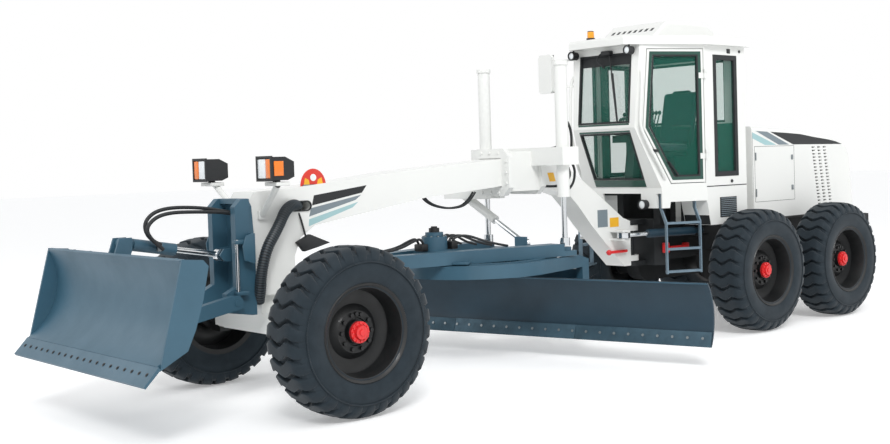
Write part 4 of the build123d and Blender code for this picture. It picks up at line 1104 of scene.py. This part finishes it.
class GRADER_OT_dozer(bpy.types.Operator):
    """Makes the edge bolts, wear sheet, hoses and mount fittings of the front dozer"""

    bl_idname = "grader.dozer"
    bl_label = "Front dozer"

    def execute(self, context):
        # Countersunk bolts along the edge
        socket = bar(EDGE_START - EDGE_NORMAL * 0.004, EDGE_START + EDGE_NORMAL * 0.0035, 0.015, 20)
        head = bar(EDGE_START, EDGE_START + EDGE_NORMAL * 0.006, 0.009, 6)
        step = (0, EDGE_SPAN / (EDGE_BOLTS - 1), 0)
        heads = coat("film_black", *row_of(socket, EDGE_BOLTS, step))
        heads += coat("charcoal", *row_of(head, EDGE_BOLTS, step))
        piece("dozer_edge_bolts", "dozer", heads)

        # Wear sheet on the curved face
        (x, z), radius = circle_through((5.000, 0.600), (4.745, 0.930), (4.790, 1.335))
        foot, top = [atan2(v - z, u - x) % (2 * pi) for u, v in ((4.993, 0.608), (4.790, 1.335))]
        angles = [foot + (top - foot) * k / 24 for k in range(25)]
        sheet = [(x + (radius - 0.021) * cos(a), z + (radius - 0.021) * sin(a)) for a in angles]
        sheet += [(x + (radius + 0.004) * cos(a), z + (radius + 0.004) * sin(a)) for a in reversed(angles)]
        skin = side_plate(sheet, -1.129, 1.129)
        piece("dozer_wear_sheet", "dozer", coat("slate", skin))

        # Pair of hoses beside the lift cylinder, and the ports on its barrel
        lines = [hose([
            (3.690, y, 1.570 - drop), (3.800, y, 1.590), (4.080, y, 1.650 - drop), (4.420, y, 1.660 - drop),
            (4.560, y, 1.560 - drop), (4.520, y, 1.420), (4.420, y, 1.375 - drop),
        ], 0.015) for y, drop in ((0.086, 0.0), (0.122, 0.036))]
        piece("dozer_hoses", "front_frame", coat("hose", *lines))
        ports = [bar((4.420, 0.040, z), (4.420, 0.068, z), 0.020, 20) for z in (1.376, 1.342)]
        piece("dozer_barrel_ports", "dozer_barrel", coat("steel", *ports))

        # Guide rod at the mount's side with its brackets, ribs folded out of the cheeks, and bolts
        rod = bar((3.868, 0.262, 0.930), (3.868, 0.262, 1.380), 0.014, 20)
        brackets = [
            cuboid((3.780, 0.218, z - 0.016), (3.885, 0.280, z + 0.016), 0.006) for z in (0.950, 1.360)
        ]
        ear = [(3.735, 1.180), (3.820, 1.215), (3.835, 1.330), (3.800, 1.410), (3.735, 1.430)]
        ribs = both(
            side_plate(ear, 0.285, 0.300, 0.003), cuboid((3.722, 0.218, 1.190), (3.745, 0.300, 1.425), 0.004),
        )
        places = [(3.7195, y, z) for y in (-0.185, 0.185) for z in (0.800, 0.920, 1.040, 1.160, 1.280)]
        mount = coat("chrome", rod) + coat("slate", *brackets, *ribs)
        mount += coat("steel", *bolts(places, (1, 0, 0), 0.016, 0.014))
        piece("dozer_mount_fittings", "front_frame", mount)
        return {"FINISHED"}


# ---------------------------------------------------------------- circle and blade
CIRCLE_TURN = radians(14.6)
CIRCLE_CENTRE = Vector((1.090, 0.0, 0.0))
BLADE_ENDS = (-2.030, 2.240)
BLADE_BOLTS = 28
SWIVEL_X = 1.640


def on_circle(x, y, z):
    """A point given in the turned circle's own frame."""
    return Matrix.Rotation(CIRCLE_TURN, 4, "Z") @ Vector((x, y, z)) + CIRCLE_CENTRE


def round_places(centre, radius, count):
    """Places spaced evenly round a circle of its plane."""
    angles = [2 * pi * k / count for k in range(count)]
    return [(centre[0] + radius * cos(a), centre[1] + radius * sin(a)) for a in angles]


class GRADER_OT_blade(bpy.types.Operator):
    """Makes the blade's cutting edge, bolts and hoses, and the drawbar's hoses and guide plates"""

    bl_idname = "grader.blade"
    bl_label = "Circle and blade"

    def execute(self, context):
        low, high = BLADE_ENDS
        # Cutting edge: three bolted lengths along the foot of the face
        section = [(-0.401, 0.197), (-0.391, 0.197), (-0.434, 0.330), (-0.444, 0.330)]
        spans = ((low + 0.004, low + 1.420), (low + 1.424, high - 1.424), (high - 1.420, high - 0.004))
        edges = [side_plate(section, start, end, 0.002) for start, end in spans]
        head = bar((-0.4215, low + 0.085, 0.270), (-0.4085, low + 0.085, 0.2742), 0.013, 14)
        heads = row_of(head, BLADE_BOLTS, (0, (high - low - 0.170) / (BLADE_BOLTS - 1), 0))
        # Rolled rim along the top of the blade
        rim = bar((-0.352, low + 0.002, 0.782), (-0.352, high - 0.002, 0.782), 0.008, 14)
        parts = coat("worn_steel", *edges) + coat("steel", *heads) + coat("slate", rim)
        turned = [placed(part, CIRCLE_CENTRE, CIRCLE_TURN) for part in parts]
        piece("blade_cutting_edge", "moldboard", turned)

        # Swivel and manifolds on the drawbar, and the hoses between them
        black = [
            bar((SWIVEL_X, 0, 1.290), (SWIVEL_X, 0, 1.330), 0.050, 28),
            bar((SWIVEL_X, 0, 1.330), (SWIVEL_X, 0, 1.345), 0.030, 6),
            cuboid((1.440, -0.110, 1.122), (1.520, 0.110, 1.200), 0.012),
            cuboid((1.760, -0.060, 1.120), (1.840, 0.060, 1.190), 0.012),
        ]
        lines = [hose([
            (1.480, y, 1.195), (1.470, y * 1.1, 1.235), (1.360, y * 1.8, 1.250), (1.230, y * 3.0, 1.190),
            (1.140, y * 4.0, 1.155), (1.020, y * 4.6, 1.128),
        ], 0.012) for y in (-0.075, -0.025, 0.025, 0.075)]
        lines += [hose([
            (1.800, y, 1.180), (1.820, y, 1.240), (1.900, y, 1.230), (2.080, y, 1.160), (2.400, y, 1.140),
            (2.700, y, 1.128), (2.880, y, 1.090),
        ], 0.012) for y in (-0.035, 0.035)]
        places = [(x, y, 1.2495) for x, y in round_places((SWIVEL_X, 0), 0.103, 10)]
        fittings = coat("black_enamel", *black) + coat("hose", *lines)
        fittings += coat("steel", *bolts(places, (0, 0, 1), 0.010, 0.010))
        piece("drawbar_fittings", "drawbar", fittings)

        # Bolted guide plates that hold the circle, on the drawbar
        shoes = []
        for angle in (35, 145, 215, 325):
            shoe = cuboid((0.590, -0.075, 1.001), (0.720, 0.075, 1.024), 0.004)
            shoes.append(placed(shoe, CIRCLE_CENTRE, radians(angle)))
        piece("circle_guide_shoes", "drawbar", coat("slate", *shoes))

        # Hoses to the side-shift and tilt cylinders behind the blade, each a little lower than the last
        lines = [hose([
            on_circle(-0.600, y, 0.560), on_circle(-0.660, y, 0.640), on_circle(-0.640, y * 1.6, 0.720),
            on_circle(-0.590, y * 2.4, 0.690), on_circle(-0.560, y * 3.4, z),
            on_circle(-0.545, y * 3.9, 0.525),
        ], 0.011) for y, z in ((-0.120, 0.560), (-0.060, 0.550), (0.060, 0.540), (0.120, 0.530))]
        piece("blade_hoses", "blade_carrier", coat("hose", *lines))
        return {"FINISHED"}


# ---------------------------------------------------------------- chassis
LOCK_Z = 0.930
TANDEM_SIDE_Y = 0.7195


class GRADER_OT_chassis(bpy.types.Operator):
    """Makes the ladder treads, hitch lock, painted shade on the tanks and tandem bolts of the chassis"""

    bl_idname = "grader.chassis"
    bl_label = "Chassis"

    def execute(self, context):
        # Open treads of the ladders: bars across each step, and one along its inner side
        treads = []
        for z in (0.712, 0.952, 1.227):
            for k in range(9):
                u = 0.145 + 0.042 * k
                treads.append(bar(on_door(u, 0.004, z), on_door(u, 0.078, z), 0.007, 8))
            treads.append(bar(on_door(0.120, 0.006, z), on_door(0.510, 0.006, z), 0.010, 10))
        piece("ladder_treads", "rear_frame", both(*coat("step_grey", *treads)))

        # Red transport lock of the hitch, pinned on the front frame, and its keeper on the chassis
        lock = [
            bar((-0.600, 0.168, LOCK_Z), (-0.880, 0.168, LOCK_Z), 0.016, 18),
            ball((-0.600, 0.168, LOCK_Z), 0.030),
            bar((-0.600, 0.134, LOCK_Z), (-0.600, 0.200, LOCK_Z), 0.012),
        ]
        piece("hitch_lock_bar", "front_frame", coat("hub_red", *lock))
        keeper = [
            cuboid((-1.390, 0.311, 0.880), (-1.300, 0.352, 0.990), 0.010),
            bar((-1.400, 0.345, LOCK_Z), (-1.640, 0.345, LOCK_Z), 0.018),
            cuboid((-1.720, 0.311, 0.890), (-1.640, 0.360, 0.970), 0.010),
        ]
        piece("hitch_lock_keeper", "rear_frame", coat("hub_red", *keeper))

        # Black sheets of painted shade on the inner sides and fronts of the tanks under the cab
        front = [
            (-1.487, 0.450, 1.536), (-1.487, 0.792, 1.536), (-1.551, 0.792, 1.184), (-1.551, 0.450, 1.184),
        ]
        painted_shade_sheets = [cuboid((-2.200, 0.427, 1.186), (-1.500, 0.439, 1.536)), plate(front, (0.004, 0, 0))]
        piece("tank_painted_shade", "rear_frame", both(*coat("charcoal", *painted_shade_sheets)))

        # Bolts of the tandem cases, round their wheel bearings and along their covers
        places = [place for x in (-2.055, -3.605) for place in round_places((x, 0.6663), 0.135, 12)]
        places += [(x, z) for x in (-3.130, -2.830, -2.530) for z in (0.530, 0.800)]
        heads = bolts([(x, TANDEM_SIDE_Y, z) for x, z in places], (0, 1, 0), 0.012, 0.010)
        piece("tandem_bolts", "rear_frame", both(*coat("steel", *heads)))
        return {"FINISHED"}


# ---------------------------------------------------------------- stage
CAMERA_PLACE = (8.685, 8.687, 1.973)
CAMERA_YAW, CAMERA_PITCH, CAMERA_ROLL = radians(-133.95), radians(-2.04), radians(-1.65)
CAMERA_LENS_MM, CAMERA_SHIFT = 47.97, (-0.101, -0.026)
# Soft lamps round the machine: place, power in watts and size
LAMPS = (((6, 9, 11), 620, 7), ((-9, 6, 9), 260, 7), ((10, -7, 8), 240, 7))
SUN_WAY = Vector((-0.45, -0.62, -0.64))


def make_world(world):
    """A pale sky that lights the machine, and is seen, mirrored or looked at through glass as white."""
    world.use_nodes = True
    sky = world.node_tree.nodes["Background"]
    sky.inputs["Color"].default_value = (0.96, 0.98, 1.0, 1)
    sky.inputs["Strength"].default_value = 0.50
    white = add_node(world, "ShaderNodeBackground", {"Color": (1, 1, 1, 1)})
    rays = add_node(world, "ShaderNodeLightPath")
    seen = add_node(
        world, "ShaderNodeMath", {"operation": "MAXIMUM"},
        [(rays, "Is Camera Ray", 0), (rays, "Is Glossy Ray", 1)],
    )
    bright = add_node(
        world, "ShaderNodeMath", {"operation": "MAXIMUM"}, [(seen, 0, 0), (rays, "Is Transmission Ray", 1)],
    )
    mix = add_node(world, "ShaderNodeMixShader", (), [(bright, 0, "Fac"), (sky, 0, 1), (white, 0, 2)])
    output = world.node_tree.nodes["World Output"]
    world.node_tree.links.new(mix.outputs[0], output.inputs["Surface"])


class GRADER_OT_stage(bpy.types.Operator):
    """Sets up the floor, the soft light and the camera"""

    bl_idname = "grader.stage"
    bl_label = "Stage"

    def execute(self, context):
        deselect()
        bpy.ops.mesh.primitive_plane_add(size=160, location=(0, 0, -0.0005))
        floor = settle()
        floor.name = "studio_floor"
        # Matt white floor of a studio, which glows a little so that its far end stays bright
        floor.data.materials.append(finish(
            "Pale Studio Floor", linear("#f4f4f4"), 0.9,
            sockets={"Emission Color": (1, 1, 1, 1), "Emission Strength": 0.28},
        ))

        context.scene.world = bpy.data.worlds.new("Studio")
        make_world(context.scene.world)

        for place, energy, size in LAMPS:
            bpy.ops.object.light_add(type="AREA", location=place)
            lamp = bpy.context.object
            lamp.data.energy = energy
            lamp.data.size = size
            lamp.rotation_euler = (Vector((0, 0, 1)) - Vector(place)).to_track_quat("-Z", "Y").to_euler()
        bpy.ops.object.light_add(type="SUN", location=(0, 0, 12))
        sun = bpy.context.object
        sun.data.energy = 1.15
        sun.data.angle = radians(14)
        sun.rotation_euler = SUN_WAY.to_track_quat("-Z", "Y").to_euler()

        ahead = Vector((
            cos(CAMERA_PITCH) * cos(CAMERA_YAW), cos(CAMERA_PITCH) * sin(CAMERA_YAW), sin(CAMERA_PITCH),
        ))
        right = ahead.cross(Vector((0, 0, 1))).normalized()
        up = right.cross(ahead)
        tilted_right = right * cos(CAMERA_ROLL) + up * sin(CAMERA_ROLL)
        tilted_up = up * cos(CAMERA_ROLL) - right * sin(CAMERA_ROLL)
        bpy.ops.object.camera_add(location=CAMERA_PLACE)
        camera = bpy.context.object
        camera.rotation_euler = Matrix((tilted_right, tilted_up, -ahead)).transposed().to_euler()
        camera.data.lens = CAMERA_LENS_MM
        camera.data.shift_x, camera.data.shift_y = CAMERA_SHIFT
        camera.data.clip_end = 400
        context.scene.camera = camera
        context.scene.view_settings.view_transform = "Standard"
        return {"FINISHED"}


# ---------------------------------------------------------------- add-on
PIECE_OPERATORS = (
    GRADER_OT_finishes,
    GRADER_OT_wheels,
    GRADER_OT_cab,
    GRADER_OT_interior,
    GRADER_OT_hood,
    GRADER_OT_front,
    GRADER_OT_dozer,
    GRADER_OT_blade,
    GRADER_OT_chassis,
    GRADER_OT_stage,
)


class GRADER_PT_panel(bpy.types.Panel):
    """Lists the grader's settings and the operators that build it"""

    bl_idname = "GRADER_PT_panel"
    bl_label = "Motor Grader"
    bl_space_type = "VIEW_3D"
    bl_region_type = "UI"
    bl_category = "Grader"

    def draw(self, context):
        for settings in (context.scene.grader_paint, context.scene.grader_tyre):
            for name in settings.__annotations__:
                self.layout.prop(settings, name)
        for operator in PIECE_OPERATORS:
            self.layout.operator(operator.bl_idname)


CLASSES = (GraderPaintSettings, GraderTyreSettings, *PIECE_OPERATORS, GRADER_PT_panel)


def register():
    """Registers the classes and the settings."""
    for cls in CLASSES:
        bpy.utils.register_class(cls)
    bpy.types.Scene.grader_paint = PointerProperty(type=GraderPaintSettings)
    bpy.types.Scene.grader_tyre = PointerProperty(type=GraderTyreSettings)


def unregister():
    """Removes the settings and the classes."""
    del bpy.types.Scene.grader_tyre
    del bpy.types.Scene.grader_paint
    for cls in reversed(CLASSES):
        bpy.utils.unregister_class(cls)


def main():
    """Registers the add-on and builds the whole grader."""
    register()
    for operator in PIECE_OPERATORS:
        group, name = operator.bl_idname.split(".")
        getattr(getattr(bpy.ops, group), name)()


if __name__ == "__main__":
    main()
